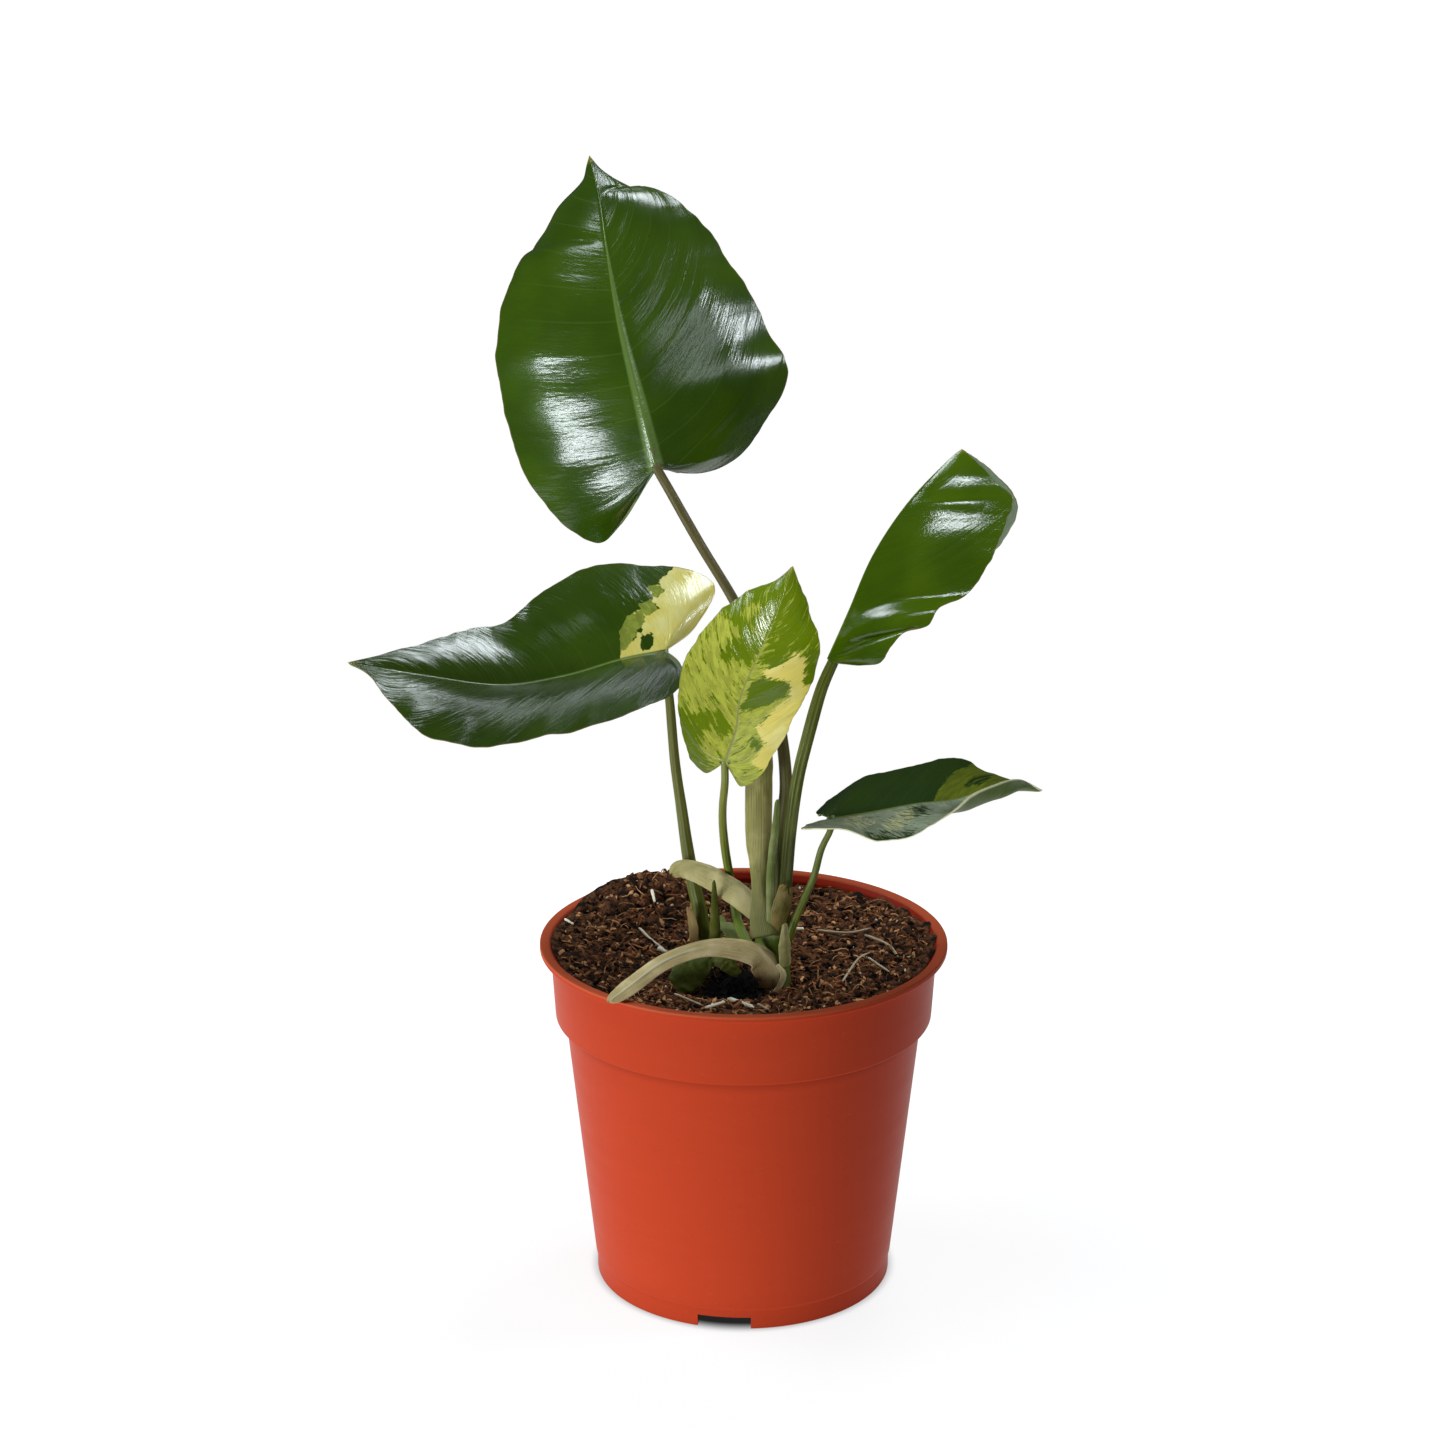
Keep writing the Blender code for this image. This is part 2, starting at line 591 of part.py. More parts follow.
def make_sheaths():
    """Make the papery sheaths, the scale and the small low leaf round the shoots."""
    pale = paint("sheath_pale", (0.30, 0.29, 0.13), 0.6)
    straw = paint("sheath_straw", (0.36, 0.33, 0.18), 0.65)
    green = paint("sheath_green", (0.12, 0.16, 0.03), 0.5)
    tan = paint("scale_tan", (0.36, 0.24, 0.09), 0.7)
    bud = paint("small_leaf_green", (0.04, 0.12, 0.01), 0.4)
    add_sheath("sheath_upright", [
        (5.2, -20, 117), (5.1, -19.5, 139), (5, -18, 157), (5.4, -16, 176),
    ], (6.8, 4.8, 8.0, 7.4, 2.0), (0.2, -1, 0), 110, pale)
    add_sheath("sheath_pointed", [
        (7.8, -23, 117), (7.7, -23.6, 133), (8.8, -23, 147), (9.4, -22, 156),
    ], (2.0, 2.4, 2.6, 1.2), (0.3, -1, 0), 90, green, rows=9)
    add_sheath("sheath_cup", [
        (11.4, -22.4, 117), (12.2, -23.6, 123.5), (12.2, -23, 131),
    ], (3.0, 5.0, 1.6), (0.4, -1, 0), 120, green, rows=9)
    add_sheath("sheath_edge", [
        (12.9, -23.2, 106), (12.9, -23.9, 111), (13.4, -23.8, 117),
    ], (2.6, 2.8, 1.0), (0.5, -0.8, 0), 90, pale, rows=8)
    add_sheath("sheath_arched_upper", [
        (5, -13.6, 117.4), (1.2, -12.8, 121.5), (-2.6, -11, 124), (-8.4, -7, 126.4),
        (-14.2, -2.5, 127.4), (-18.6, 0, 127.2), (-21, 1, 125),
    ], (5.6, 7.4, 7.4, 7.0, 6.4, 3.4), (0, -0.8, 0.6), 90, straw)
    add_sheath("sheath_arched_lower", [
        (7.6, -25.4, 100), (7.8, -26, 104.5), (5.6, -26.5, 109.5), (1, -28, 112.5), (-8, -31.5, 115),
        (-15.4, -35, 115.2), (-24, -39.5, 113), (-30.6, -44.5, 109.8), (-36.5, -49, 106.8),
        (-38, -50.5, 105.9),
    ], (6.0, 8.4, 7.8, 6.4, 5.4, 5.2, 5.6, 5.8, 2.2), (0, -0.5, 0.85), 60, straw, rows=17)
    add_sheath("sheath_spike", [
        (-9.8, 0.9, 102.5), (-8.6, -3.4, 106), (-8.4, -9, 114), (-8.7, -13.2, 126),
    ], (2.6, 3.2, 2.4, 0.7), (0, -1, 0), 80, green, rows=9, columns=3)
    add_sheath("sheath_small", [
        (-7.3, 3.6, 102.5), (-5.6, 0, 109.6), (-3.2, -3.2, 109.2), (-1.4, -4.6, 105),
    ], (2.6, 4.6, 4.6, 2.6), (0.5, -0.5, 0.7), 90, green, rows=9)
    add_sheath("scale_dry", [
        (-14.6, 1.7, 103), (-15.2, 1.2, 109), (-16.1, 1, 114.3),
    ], (2.6, 2.8, 1.2), (-0.6, -0.8, 0), 80, tan, rows=8, columns=3)
    add_sheath("leaf_small", [
        (-9.3, -22, 106.8), (-12.7, -23, 105.1), (-16.4, -24, 102.8), (-20.3, -25.2, 100.0),
    ], (2.0, 7.4, 9.8, 9.2, 4.0), (0.3, -0.9, 0.3), 40, bud, rows=9)


def centre_footprint():
    """Move the carrying empty so that the origin is the middle of the footprint box."""
    bpy.context.view_layer.update()
    graph = bpy.context.evaluated_depsgraph_get()
    low = np.full(3, np.inf)
    high = np.full(3, -np.inf)
    for item in PLANT.objects:
        if item.type == "EMPTY":
            continue
        evaluated = item.evaluated_get(graph)
        mesh = evaluated.to_mesh()
        points = np.array([evaluated.matrix_world @ vertex.co for vertex in mesh.vertices])
        low = np.minimum(low, points.min(axis=0))
        high = np.maximum(high, points.max(axis=0))
        evaluated.to_mesh_clear()
    CARRIER.location = (-(low[0] + high[0]) / 2, -(low[1] + high[1]) / 2, -low[2])
    bpy.context.view_layer.update()


clear_scene()
PLANT = new_collection("potted_philodendron")
CUTTERS = new_collection("cutters")
CARRIER = bpy.data.objects.new("plant_origin", None)
PLANT.objects.link(CARRIER)
make_pot()
make_soil()
make_shoots()
make_leaves()
make_stalks()
make_sheaths()
centre_footprint()
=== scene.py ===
"""Looks of a variegated philodendron in its plastic nursery pot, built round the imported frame.

Shapes are written in millimetres in the pot's own frame: its axis is Z, its foot stands at
Z = 0, X runs to the right and Y away from the camera. placed() moves them into the row's
frame, in metres. A leaf has its own frame, which its place and turn set into the pot's.
"""

import math

import bmesh
import bpy
import numpy as np
from mathutils import Euler, Matrix, Vector, noise


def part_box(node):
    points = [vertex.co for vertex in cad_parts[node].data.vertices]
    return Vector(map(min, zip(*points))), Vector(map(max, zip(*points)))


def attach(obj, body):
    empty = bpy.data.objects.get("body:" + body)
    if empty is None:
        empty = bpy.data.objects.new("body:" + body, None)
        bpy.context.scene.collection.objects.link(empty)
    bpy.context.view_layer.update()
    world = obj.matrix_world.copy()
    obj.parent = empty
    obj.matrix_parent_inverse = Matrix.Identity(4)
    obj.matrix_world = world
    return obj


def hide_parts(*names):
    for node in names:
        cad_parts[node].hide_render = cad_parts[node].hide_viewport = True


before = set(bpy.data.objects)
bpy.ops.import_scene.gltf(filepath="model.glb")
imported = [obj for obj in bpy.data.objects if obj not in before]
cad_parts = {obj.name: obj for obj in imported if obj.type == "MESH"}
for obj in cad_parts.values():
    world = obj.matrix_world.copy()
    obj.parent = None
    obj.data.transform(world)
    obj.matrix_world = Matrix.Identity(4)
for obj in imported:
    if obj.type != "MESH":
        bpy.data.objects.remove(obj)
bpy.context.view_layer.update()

MM = 0.001
POT_LOW, POT_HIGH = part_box("pot")
AXIS = np.array([(POT_LOW.x + POT_HIGH.x) / 2, (POT_LOW.y + POT_HIGH.y) / 2, POT_LOW.z])
WELD = 0.001 * MM

# Camera
PHOTO_WIDTH = 1445
FOCAL_PIXELS = 3460.0
CAMERA_PLACE = (-6.22, -950.0, 480.7)
CAMERA_PITCH = 18.005
SENSOR_WIDTH = 36.0
CLIP_END = 50.0

# Studio
FLOOR_RADIUS = 0.34
FLOOR_SEGMENTS = 96
LIGHTS_AIM_HEIGHT = 180.0
SURROUNDINGS = (0.05, 0.05, 0.054, 1.0)
COOL = (0.87, 0.95, 1.0)
WHITE = (1.0, 1.0, 1.0)

# Pot
POT_HEIGHT = (POT_HIGH.z - POT_LOW.z) / MM
LIP_RADIUS = (POT_HIGH.x - POT_LOW.x) / 2 / MM
LIP_THICKNESS = 1.8
LIP_INSIDE_RADIUS = 57.2
FLARE_HEIGHT = 2.1
COLLAR_TOP_RADIUS = 56.9
COLLAR_BOTTOM_RADIUS = 55.6
COLLAR_BOTTOM = 82.5
STEP_HEIGHT = 3.0
BODY_RADIUS = 52.7
FOOT_RADIUS = 44.0
FOOT_HEIGHT = 6.0
FOOT_SEAM = 0.5
FOOT_RING_WIDTH = 2.2
WALL = 1.3
FLOOR_UNDERSIDE = 4.6
FLOOR_TOP = 5.8
STEP_BOTTOM = COLLAR_BOTTOM - STEP_HEIGHT / 2
STEP_TOP = COLLAR_BOTTOM + STEP_HEIGHT / 2
FLARE_BOTTOM = POT_HEIGHT - FLARE_HEIGHT
EDGE_ROUNDING = 0.45
LIP_SLOPE = 0.2
STEP_SLOPE = 0.7
POT_CREASE = 32
NOTCH_SIZE = (8.0, 15.7, 7.4)
NOTCH_ANGLES = (-97.6, 22.4, 142.4)
DRAIN_RADIUS = 3.5
DRAIN_RING_RADIUS = 26.0
DRAIN_COUNT = 6
DRAIN_SEGMENTS = 32
POT_SEGMENTS = 192

# Soil
SOIL_LEVEL = 100.2
SOIL_SIDE_RISE = 4.0
SOIL_BACK_RISE = 1.0
SOIL_BRINK = 0.8
MOUND_CENTRE = (-26.0, 36.0)
MOUND_SPREAD = (20.0, 14.0)
MOUND_HEIGHT = 9.0
HOLLOW_CENTRE = (-6.0, -23.0)
HOLLOW_SPREAD = (17.0, 9.0)
HOLLOW_DEPTH = 5.5
# Where shade is painted black on the soil, in the cavity below the arched sheath
SHADE_CENTRE = (-3.0, -20.0)
SHADE_SPREAD = (12.5, 13.0)
CRUMB_SIZE = 5.0
CRUMB_HEIGHT = 1.3
SOIL_RINGS = 110
SOIL_SEGMENTS = 480
EDGE_TRIES = 4
EDGE_GAP = 0.05
SIDE_GAP = 0.3
CHIPS = 3200
CHIP_SEED = 11
CHIP_MARGIN = 1.2
THICKEST_CHIP = 1.5
CHIP_LIFT = 0.15
CHIP_CREASE = 50
FIBRES = 480
FIBRE_SEED = 23
FIBRE_MARGIN = 3.0
FIBRE_END_MARGIN = 1.0
FIBRE_LIFT = 0.35
FIBRE_SIDES = 4
FIBRE_TAPER = (0.3, 0.9, 1.0, 1.0, 1.0, 0.8, 0.3)
GRITS = 60
GRIT_SEED = 5
GRIT_MARGIN = 2.0
GRIT_LIFT = 0.2
STICK_LIFT = 1.1
STICK_SIDES = 7
STICK_RINGS = 12

# Stalks and sheaths
SMOOTHING_STEPS = 16
STALK_RINGS = 110
STALK_SIDES = 36
SHEATH_ROWS = 110
SHEATH_COLUMNS = 30
SHEATH_THICKNESS = 0.45
SHEATH_RIDGES = 16
SHEATH_CRUMPLE = 0.35

# Leaves
FINENESS = 7
BLADE = 0.5
RIB_DEPTH = 1.3
RIB_HALF_WIDTH = 1.6
VEIN_SPACING = 7.5
ROWS_PER_VEIN = 1.6
RIPPLE = 0.012
RIPPLE_STEP = 2.4
CREASE_DEPTH = 0.55
CREASE_WIDTH = 1.1
GROOVE_DEPTH = 0.06
SWELL_HEIGHT = 0.3
WRINKLE_HEIGHT = 0.13
SHARES = np.concatenate([np.linspace(0, 0.985, 36) ** 1.3, [0.988, 0.993, 0.997, 1.0]])

# What tells a blade's halves apart in its stored values, and the value far outside any patch
HALF_MARK = 40.0
UNPAINTED = -9.0

# Colours, as the light that a surface gives back
CREAM = (0.86, 0.73, 0.17)
CREAM_WHITE = (0.92, 0.82, 0.30)
LIME = (0.33, 0.38, 0.055)
MARGIN_BROWN = (0.16, 0.13, 0.03)
SPECK_BROWN = (0.05, 0.03, 0.01)
TIP_TAN = (0.45, 0.36, 0.06)
PALE_RIB = (0.16, 0.26, 0.05)
STAIN_BROWN = (0.06, 0.05, 0.02)
KEEL_GREY = (0.55, 0.53, 0.38)
DIRT_BROWN = (0.03, 0.015, 0.01)
# Painted shade for the soil's cavity
SOIL_SHADE_BLACK = (0.001, 0.0008, 0.0006)
POT_RED = (0.455, 0.045, 0.014)
POT_INSIDE_RED = (0.36, 0.024, 0.009)
POT_WORN_AND_SHEEN_RED = (0.55, 0.12, 0.05)


def smooth(points, count):
    """Return count points evenly spaced on the smooth curve through the points given."""
    knots = np.array(points, float)
    knots = np.vstack([2 * knots[0] - knots[1], knots, 2 * knots[-1] - knots[-2]])
    steps = np.linspace(0, 1, SMOOTHING_STEPS, endpoint=False)[:, None]
    pieces = []
    for a, b, c, d in zip(knots, knots[1:], knots[2:], knots[3:]):
        cubic = (3 * b - 3 * c + d - a) * steps**3 + (2 * a - 5 * b + 4 * c - d) * steps**2
        pieces.append(b + 0.5 * (cubic + (c - a) * steps))
    dense = np.vstack(pieces + [knots[-2:-1]])
    travelled = travel(dense)
    stations = np.linspace(0, travelled[-1], count)
    return np.stack([np.interp(stations, travelled, axis) for axis in dense.T], axis=1)


def unit(vectors):
    """Return the vectors at length one."""
    return vectors / np.maximum(np.linalg.norm(vectors, axis=-1, keepdims=True), 1e-9)


def travel(line):
    """Return how far along a line each of its points lies."""
    return np.append(0, np.cumsum(np.linalg.norm(np.diff(line, axis=0), axis=1)))


def joined(*values):
    """Return values side by side on a last axis, spread to the shape that they share."""
    return np.stack(np.broadcast_arrays(*values), axis=-1)


def around(count):
    """Return angles in even steps round a circle."""
    return np.arange(count) * 2 * math.pi / count


def step_up(value, low, high):
    """Return 0 below low and 1 above high, with a smooth rise between."""
    share = np.clip((value - low) / (high - low), 0, 1)
    return share * share * (3 - 2 * share)


def round_off(value, reach):
    """Return 0 at zero and 1 from reach on, rising like a quarter circle."""
    return np.sqrt(1 - (1 - np.clip(value / reach, 0, 1)) ** 2)


def grain(points, size, seed=0.0):
    """Return smooth noise between -1 and 1, with lumps of about the size given."""
    flat = np.asarray(points, float).reshape(-1, 3) / size + seed
    return np.array([noise.noise(Vector(point)) for point in flat]).reshape(np.shape(points)[:-1])


def waver(values, seed):
    """Return smooth noise between -1 and 1 along a single row of values."""
    return grain(joined(values, 0.0, 0.0), 1.0, seed)


def domes(points, size, seed=0.0):
    """Return scattered round lumps between 0 and 1, of about the size given."""
    flat = np.asarray(points, float).reshape(-1, 3) / size + seed
    near = np.array([noise.voronoi(Vector(point))[0][0] for point in flat])
    return np.clip(1 - near**2, 0, 1).reshape(np.shape(points)[:-1])


def inside(x, y, outline):
    """Return how far inside an outline each point is, in millimetres, negative outside it."""
    corners = np.array(outline, float)
    after = np.roll(corners, -1, axis=0)
    ahead = after - corners
    offset = joined(x, y)[..., None, :] - corners
    share = np.clip((offset * ahead).sum(-1) / (ahead**2).sum(-1), 0, 1)
    distance = np.linalg.norm(offset - share[..., None] * ahead, axis=-1).min(axis=-1)
    straddles = (corners[:, 1] > y[..., None]) != (after[:, 1] > y[..., None])
    crossing = corners[:, 0] + ahead[:, 0] * offset[..., 1] / np.where(ahead[:, 1] == 0, 1e-9, ahead[:, 1])
    odd = (straddles & (x[..., None] < crossing)).sum(-1) % 2 == 1
    return np.where(odd, distance, -distance)


def placed(points):
    """Move points from millimetres in the pot's frame to metres in the row's frame."""
    return np.asarray(points, float) * MM + AXIS


def grid_faces(rows, columns, flip=False, ring=False):
    """Return the quads of a grid of points, closed into a ring across its columns if asked."""
    row, column = np.meshgrid(np.arange(rows - 1), np.arange(columns - (not ring)), indexing="ij")
    after = (column + 1) % columns
    low = row * columns
    high = low + columns
    quads = joined(low + column, low + after, high + after, high + column).reshape(-1, 4)
    return quads[:, ::-1] if flip else quads


def facing(grid):
    """Return the direction square to the surface at each point of a grid, of no set length."""
    return np.cross(np.gradient(grid, axis=1), np.gradient(grid, axis=0))


def put(name, data):
    """Make an object of this data and put it in the scene."""
    item = bpy.data.objects.new(name, data)
    bpy.context.scene.collection.objects.link(item)
    return item


def put_shape(name, shape):
    """Make an object of a shape that bmesh holds, and put it in the scene."""
    mesh = bpy.data.meshes.new(name)
    shape.to_mesh(mesh)
    shape.free()
    return put(name, mesh)


class Shape:
    """Points in the pot's frame, faces and stored values, gathered for one mesh."""

    def __init__(self):
        self.points = []
        self.faces = []
        self.slots = []
        self.stored = {}
        self.count = 0

    def add(self, points, faces, caps=(), slot=0, **stored):
        """Add points and their faces, with three values by name for each point or for all."""
        points = np.asarray(points, float).reshape(-1, 3)
        faces = (np.asarray(faces) + self.count).tolist()
        faces += [[index + self.count for index in cap] for cap in caps]
        self.points.append(points)
        self.faces += faces
        self.slots += [slot] * len(faces)
        self.count += len(points)
        for name, values in stored.items():
            values = np.broadcast_to(np.asarray(values, float).reshape(-1, 3), points.shape)
            self.stored.setdefault(name, []).append(values)

    def build(self, name, materials, nodes=(), weld=False, sharp=None):
        """Make the object, which rides with the plant and stands for its CAD nodes.

        Stored values go on the faces' corners, so that they stay apart where points that
        coincide are welded.
        """
        mesh = bpy.data.meshes.new(name)
        mesh.from_pydata(placed(np.vstack(self.points)).tolist(), [], self.faces)
        corners = np.zeros(len(mesh.loops), np.int32)
        mesh.loops.foreach_get("vertex_index", corners)
        for title, parts in self.stored.items():
            layer = mesh.attributes.new(title, "FLOAT_VECTOR", "CORNER")
            layer.data.foreach_set("vector", np.vstack(parts).astype(np.float32)[corners].ravel())
        for material in materials:
            mesh.materials.append(material)
        mesh.polygons.foreach_set("material_index", np.array(self.slots, np.int32))
        if weld:
            whole = bmesh.new()
            whole.from_mesh(mesh)
            bmesh.ops.remove_doubles(whole, verts=whole.verts, dist=WELD)
            whole.to_mesh(mesh)
            whole.free()
        mesh.shade_smooth()
        if sharp:
            mesh.set_sharp_from_angle(angle=math.radians(sharp))
        item = put(name, mesh)
        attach(item, "root")
        if nodes:
            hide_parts(*nodes)
        return item


class Look:
    """A procedural material while its nodes are being joined up."""

    def __init__(self, name):
        self.material = bpy.data.materials.new(name)
        self.material.use_nodes = True
        self.tree = self.material.node_tree
        self.shader = self.tree.nodes["Principled BSDF"]

    def feed(self, socket, value):
        """Link a socket to another one, or set its constant."""
        if isinstance(value, bpy.types.NodeSocket):
            self.tree.links.new(value, socket)
        elif socket.type == "RGBA":
            socket.default_value = (*value[:3], 1.0)
        else:
            socket.default_value = value

    def add(self, kind, settings=None, **values):
        """Add a node with its settings and its inputs by name."""
        node = self.tree.nodes.new("ShaderNode" + kind)
        for key, value in (settings or {}).items():
            setattr(node, key, value)
        for key, value in values.items():
            self.feed(node.inputs[key.replace("_", " ")], value)
        return node

    def place(self):
        """Return the place on the object, in metres."""
        return self.add("TexCoord").outputs["Object"]

    def height(self):
        """Return the height above the pot's foot, in millimetres."""
        return self.over(self.minus(self.apart(self.place())[2], float(AXIS[2])), MM)

    def apart(self, vector):
        """Return a vector's three values, apart."""
        return self.add("SeparateXYZ", Vector=vector).outputs[:]

    def given(self, name):
        """Return the three values of a stored attribute, apart."""
        return self.apart(self.add("Attribute", {"attribute_name": name}).outputs["Vector"])

    def vector(self, x, y, z=0.0):
        """Join three values into a vector."""
        return self.add("CombineXYZ", X=x, Y=y, Z=z).outputs[0]

    def maths(self, operation, first, second=0.0):
        """Return what a named operation makes of two values."""
        node = self.add("Math", {"operation": operation})
        self.feed(node.inputs[0], first)
        self.feed(node.inputs[1], second)
        return node.outputs[0]

    def plus(self, first, second):
        """Return the sum of two values."""
        return self.maths("ADD", first, second)

    def minus(self, first, second):
        """Return the first value less the second."""
        return self.maths("SUBTRACT", first, second)

    def times(self, first, second):
        """Return the product of two values."""
        return self.maths("MULTIPLY", first, second)

    def over(self, first, second):
        """Return the first value divided by the second."""
        return self.maths("DIVIDE", first, second)

    def between(self, value, low, high):
        """Return 0 at low and 1 at high, with a smooth change between."""
        node = self.add("MapRange", {"interpolation_type": "SMOOTHSTEP"}, Value=value,
                        From_Min=low, From_Max=high)
        return node.outputs["Result"]

    def ranged(self, value, low, high):
        """Return a value between 0 and 1 spread from low to high."""
        return self.add("MapRange", None, Value=value, To_Min=low, To_Max=high).outputs["Result"]

    def mix(self, share, first, second):
        """Return two colours mixed."""
        node = self.add("Mix", {"data_type": "RGBA"})
        self.feed(node.inputs[0], share)
        self.feed(node.inputs[6], first)
        self.feed(node.inputs[7], second)
        return node.outputs[2]

    def tinted(self, colour, tint, share, strength):
        """Return a colour with a tint laid over it, by a share times a strength."""
        return self.mix(self.times(share, strength), colour, tint)

    def noise(self, vector, scale, detail=2.0, rough=0.5):
        """Return smooth noise between 0 and 1."""
        return self.add("TexNoise", None, Vector=vector, Scale=scale, Detail=detail,
                        Roughness=rough).outputs[0]

    def cells(self, vector, scale):
        """Return the distance to the nearest of many scattered points."""
        return self.add("TexVoronoi", None, Vector=vector, Scale=scale).outputs["Distance"]

    def lines(self, value, spacing, width):
        """Return 1 on thin lines that repeat at a spacing and 0 between them."""
        phase = self.maths("FRACT", self.over(value, spacing))
        off = self.maths("ABSOLUTE", self.minus(phase, 0.5))
        return self.between(off, 0.5 - width / spacing, 0.5)

    def bump(self, height, strength, distance):
        """Return a normal roughened by a height, given in millimetres."""
        return self.add("Bump", None, Height=height, Strength=strength, Distance=distance * MM).outputs[0]

    def done(self, colour, roughness, normal=None, **fixed):
        """Set the shader's inputs and return the material."""
        self.feed(self.shader.inputs["Base Color"], colour)
        self.feed(self.shader.inputs["Roughness"], roughness)
        if normal:
            self.feed(self.shader.inputs["Normal"], normal)
        for key, value in fixed.items():
            self.feed(self.shader.inputs[key.replace("_", " ")], value)
        return self.material


def relit(colour, share):
    """Return a colour with its light multiplied by a share."""
    return tuple(part * share for part in colour)


def streaked(look, across, outwards, *settings):
    """Return noise drawn out along a blade's side veins, different on its two halves."""
    vein, outward, side = look.given("veins")
    return look.noise(look.vector(look.times(vein, across), look.times(outward, outwards), side), *settings)


def variegated(look, colour, deep, mottled=0.0, flecks=1.0, ragged=3.2, creams=(CREAM, CREAM_WHITE),
               lime=LIME, near_lime=None):
    """Return a blade's colour with its lime, cream and dark patches, frayed along the veins; if asked, the
    right half's lime field is a painted sheen instead.
    """
    pale, limy, dark = look.given("patches")
    frayed = streaked(look, 0.45, 0.28, 1.0, 4.0, 0.65)
    edge = look.times(look.minus(frayed, 0.5), ragged)
    blotches = look.times(look.minus(streaked(look, 0.5, 0.2, flecks, 6.0, 0.75), 0.5), mottled)
    creamy = look.mix(look.between(look.noise(look.place(), 90.0, 3.0), 0.45, 0.65), *creams)
    uneven = look.between(frayed, 0.4, 0.6)
    limed = look.mix(uneven, lime, relit(lime, 0.72))
    # Painted sheen: a silvery green laid into the right half's colour, as if it reflected the sky.
    if near_lime:
        sheened = look.mix(uneven, near_lime, relit(near_lime, 0.72))
        limed = look.mix(look.between(look.given("veins")[2], -1.0, 1.0), limed, sheened)
    for field, tint, part in ((limy, limed, 1.0), (pale, creamy, 0.35), (dark, deep, 0.35)):
        field = look.plus(look.plus(field, edge), look.times(blotches, part))
        colour = look.mix(look.between(field, -0.07, 0.07), colour, tint)
    return colour


def veined(look, colour, rib, rib_width, rib_reach, lined):
    """Return a blade's colour with fine lines on its side veins and a pale midrib that tapers."""
    away, along, share = look.given("rib")
    line = look.lines(look.given("veins")[0], VEIN_SPACING, 0.3)
    colour = look.tinted(colour, rib, look.times(line, look.between(share, 1.0, 0.25)), lined)
    taper = look.maths("MAXIMUM", look.minus(1.0, look.over(along, rib_reach)), 0.0)
    width = look.times(look.maths("POWER", taper, 1.4), rib_width)
    band = look.between(look.over(away, look.maths("MAXIMUM", width, 0.06)), 1.2, 0.7)
    uneven = look.noise(look.vector(look.times(away, 2.0), along), 3.0)
    return look.tinted(colour, look.mix(uneven, rib, relit(rib, 0.6)), band, 0.9)


def leaf_look(name, deep, bright, rib=PALE_RIB, rib_width=2.6, rib_reach=0.85, gloss=0.2, lined=0.14,
              margin=MARGIN_BROWN, grit=0.05, bumpy=0.5, **patches):
    """Upper face of a blade: streaks, variegated patches, veins, specks and a dry margin."""
    look = Look(name)
    along, share = look.given("rib")[1:]
    place = look.place()
    streaks = streaked(look, 1.0, 0.09, 0.35, 3.0)
    hairs = streaked(look, 1.0, 0.16, 1.5, 3.0, 0.6)
    colour = look.mix(look.between(look.noise(place, 38.0), 0.35, 0.65), deep, bright)
    colour = look.mix(look.ranged(streaks, -0.1, 0.5), colour, bright)
    colour = look.mix(look.ranged(hairs, -0.05, 0.4), colour, deep)
    colour = variegated(look, colour, deep, **patches)
    colour = look.mix(look.ranged(hairs, 0.0, 0.3), colour, deep)
    colour = veined(look, colour, rib, rib_width, rib_reach, lined)
    colour = look.tinted(colour, SPECK_BROWN, look.between(look.cells(place, 160.0), 0.07, 0.04), 0.7)
    colour = look.tinted(colour, margin, look.between(share, 0.985, 1.0), 0.8)
    colour = look.tinted(colour, TIP_TAN, look.between(along, 0.96, 1.0), 0.7)
    height = look.plus(streaks, look.times(hairs, 0.4))
    height = look.plus(height, look.times(look.noise(place, 1900.0, 2.0), grit))
    return look.done(colour, look.ranged(hairs, gloss - 0.06, gloss + 0.06), look.bump(height, bumpy, 0.5),
                     IOR=1.55)


def under_look(name, tint, margin=MARGIN_BROWN, margin_start=0.985):
    """Underside of a blade: paler and duller, with raised veins."""
    look = Look(name)
    away, _, share = look.given("rib")
    streaks = streaked(look, 1.0, 0.1, 0.9, 3.0)
    line = look.lines(look.given("veins")[0], VEIN_SPACING, 0.5)
    line = look.times(line, look.between(share, 1.0, 0.3))
    colour = look.mix(streaks, relit(tint, 0.7), tint)
    colour = look.tinted(colour, relit(tint, 1.7), line, 0.6)
    colour = look.mix(look.between(away, 1.8, 0.6), colour, relit(tint, 1.15))
    colour = look.mix(look.between(share, margin_start, 1.0), colour, margin)
    height = look.plus(streaks, line)
    return look.done(colour, look.ranged(streaks, 0.42, 0.6), look.bump(height, 0.5, 0.25))


def lengthwise(look, stretch, *settings):
    """Return noise drawn out along a stalk."""
    cosine, sine, travelled = look.given("round")
    return look.noise(look.vector(cosine, sine, look.times(travelled, stretch)), *settings)


def stalk_look(name, low_tint, high_tint, stripe, change=(20.0, 60.0)):
    """A leaf stalk: long fine stripes, and a change of tint from its foot upwards."""
    look = Look(name)
    stripes = lengthwise(look, 0.02, 3.2, 4.0, 0.6)
    fine = lengthwise(look, 0.02, 11.0, 2.0)
    blush = look.noise(look.place(), 120.0, 2.0)
    colour = look.mix(look.between(look.given("round")[2], *change), low_tint, high_tint)
    colour = look.mix(look.between(stripes, 0.38, 0.72), colour, stripe)
    colour = look.mix(look.ranged(blush, -0.1, 0.5), colour, relit(low_tint, 0.6))
    height = look.plus(stripes, look.times(fine, 0.5))
    return look.done(colour, look.ranged(fine, 0.34, 0.52), look.bump(height, 0.5, 0.25),
                     Specular_IOR_Level=0.28)


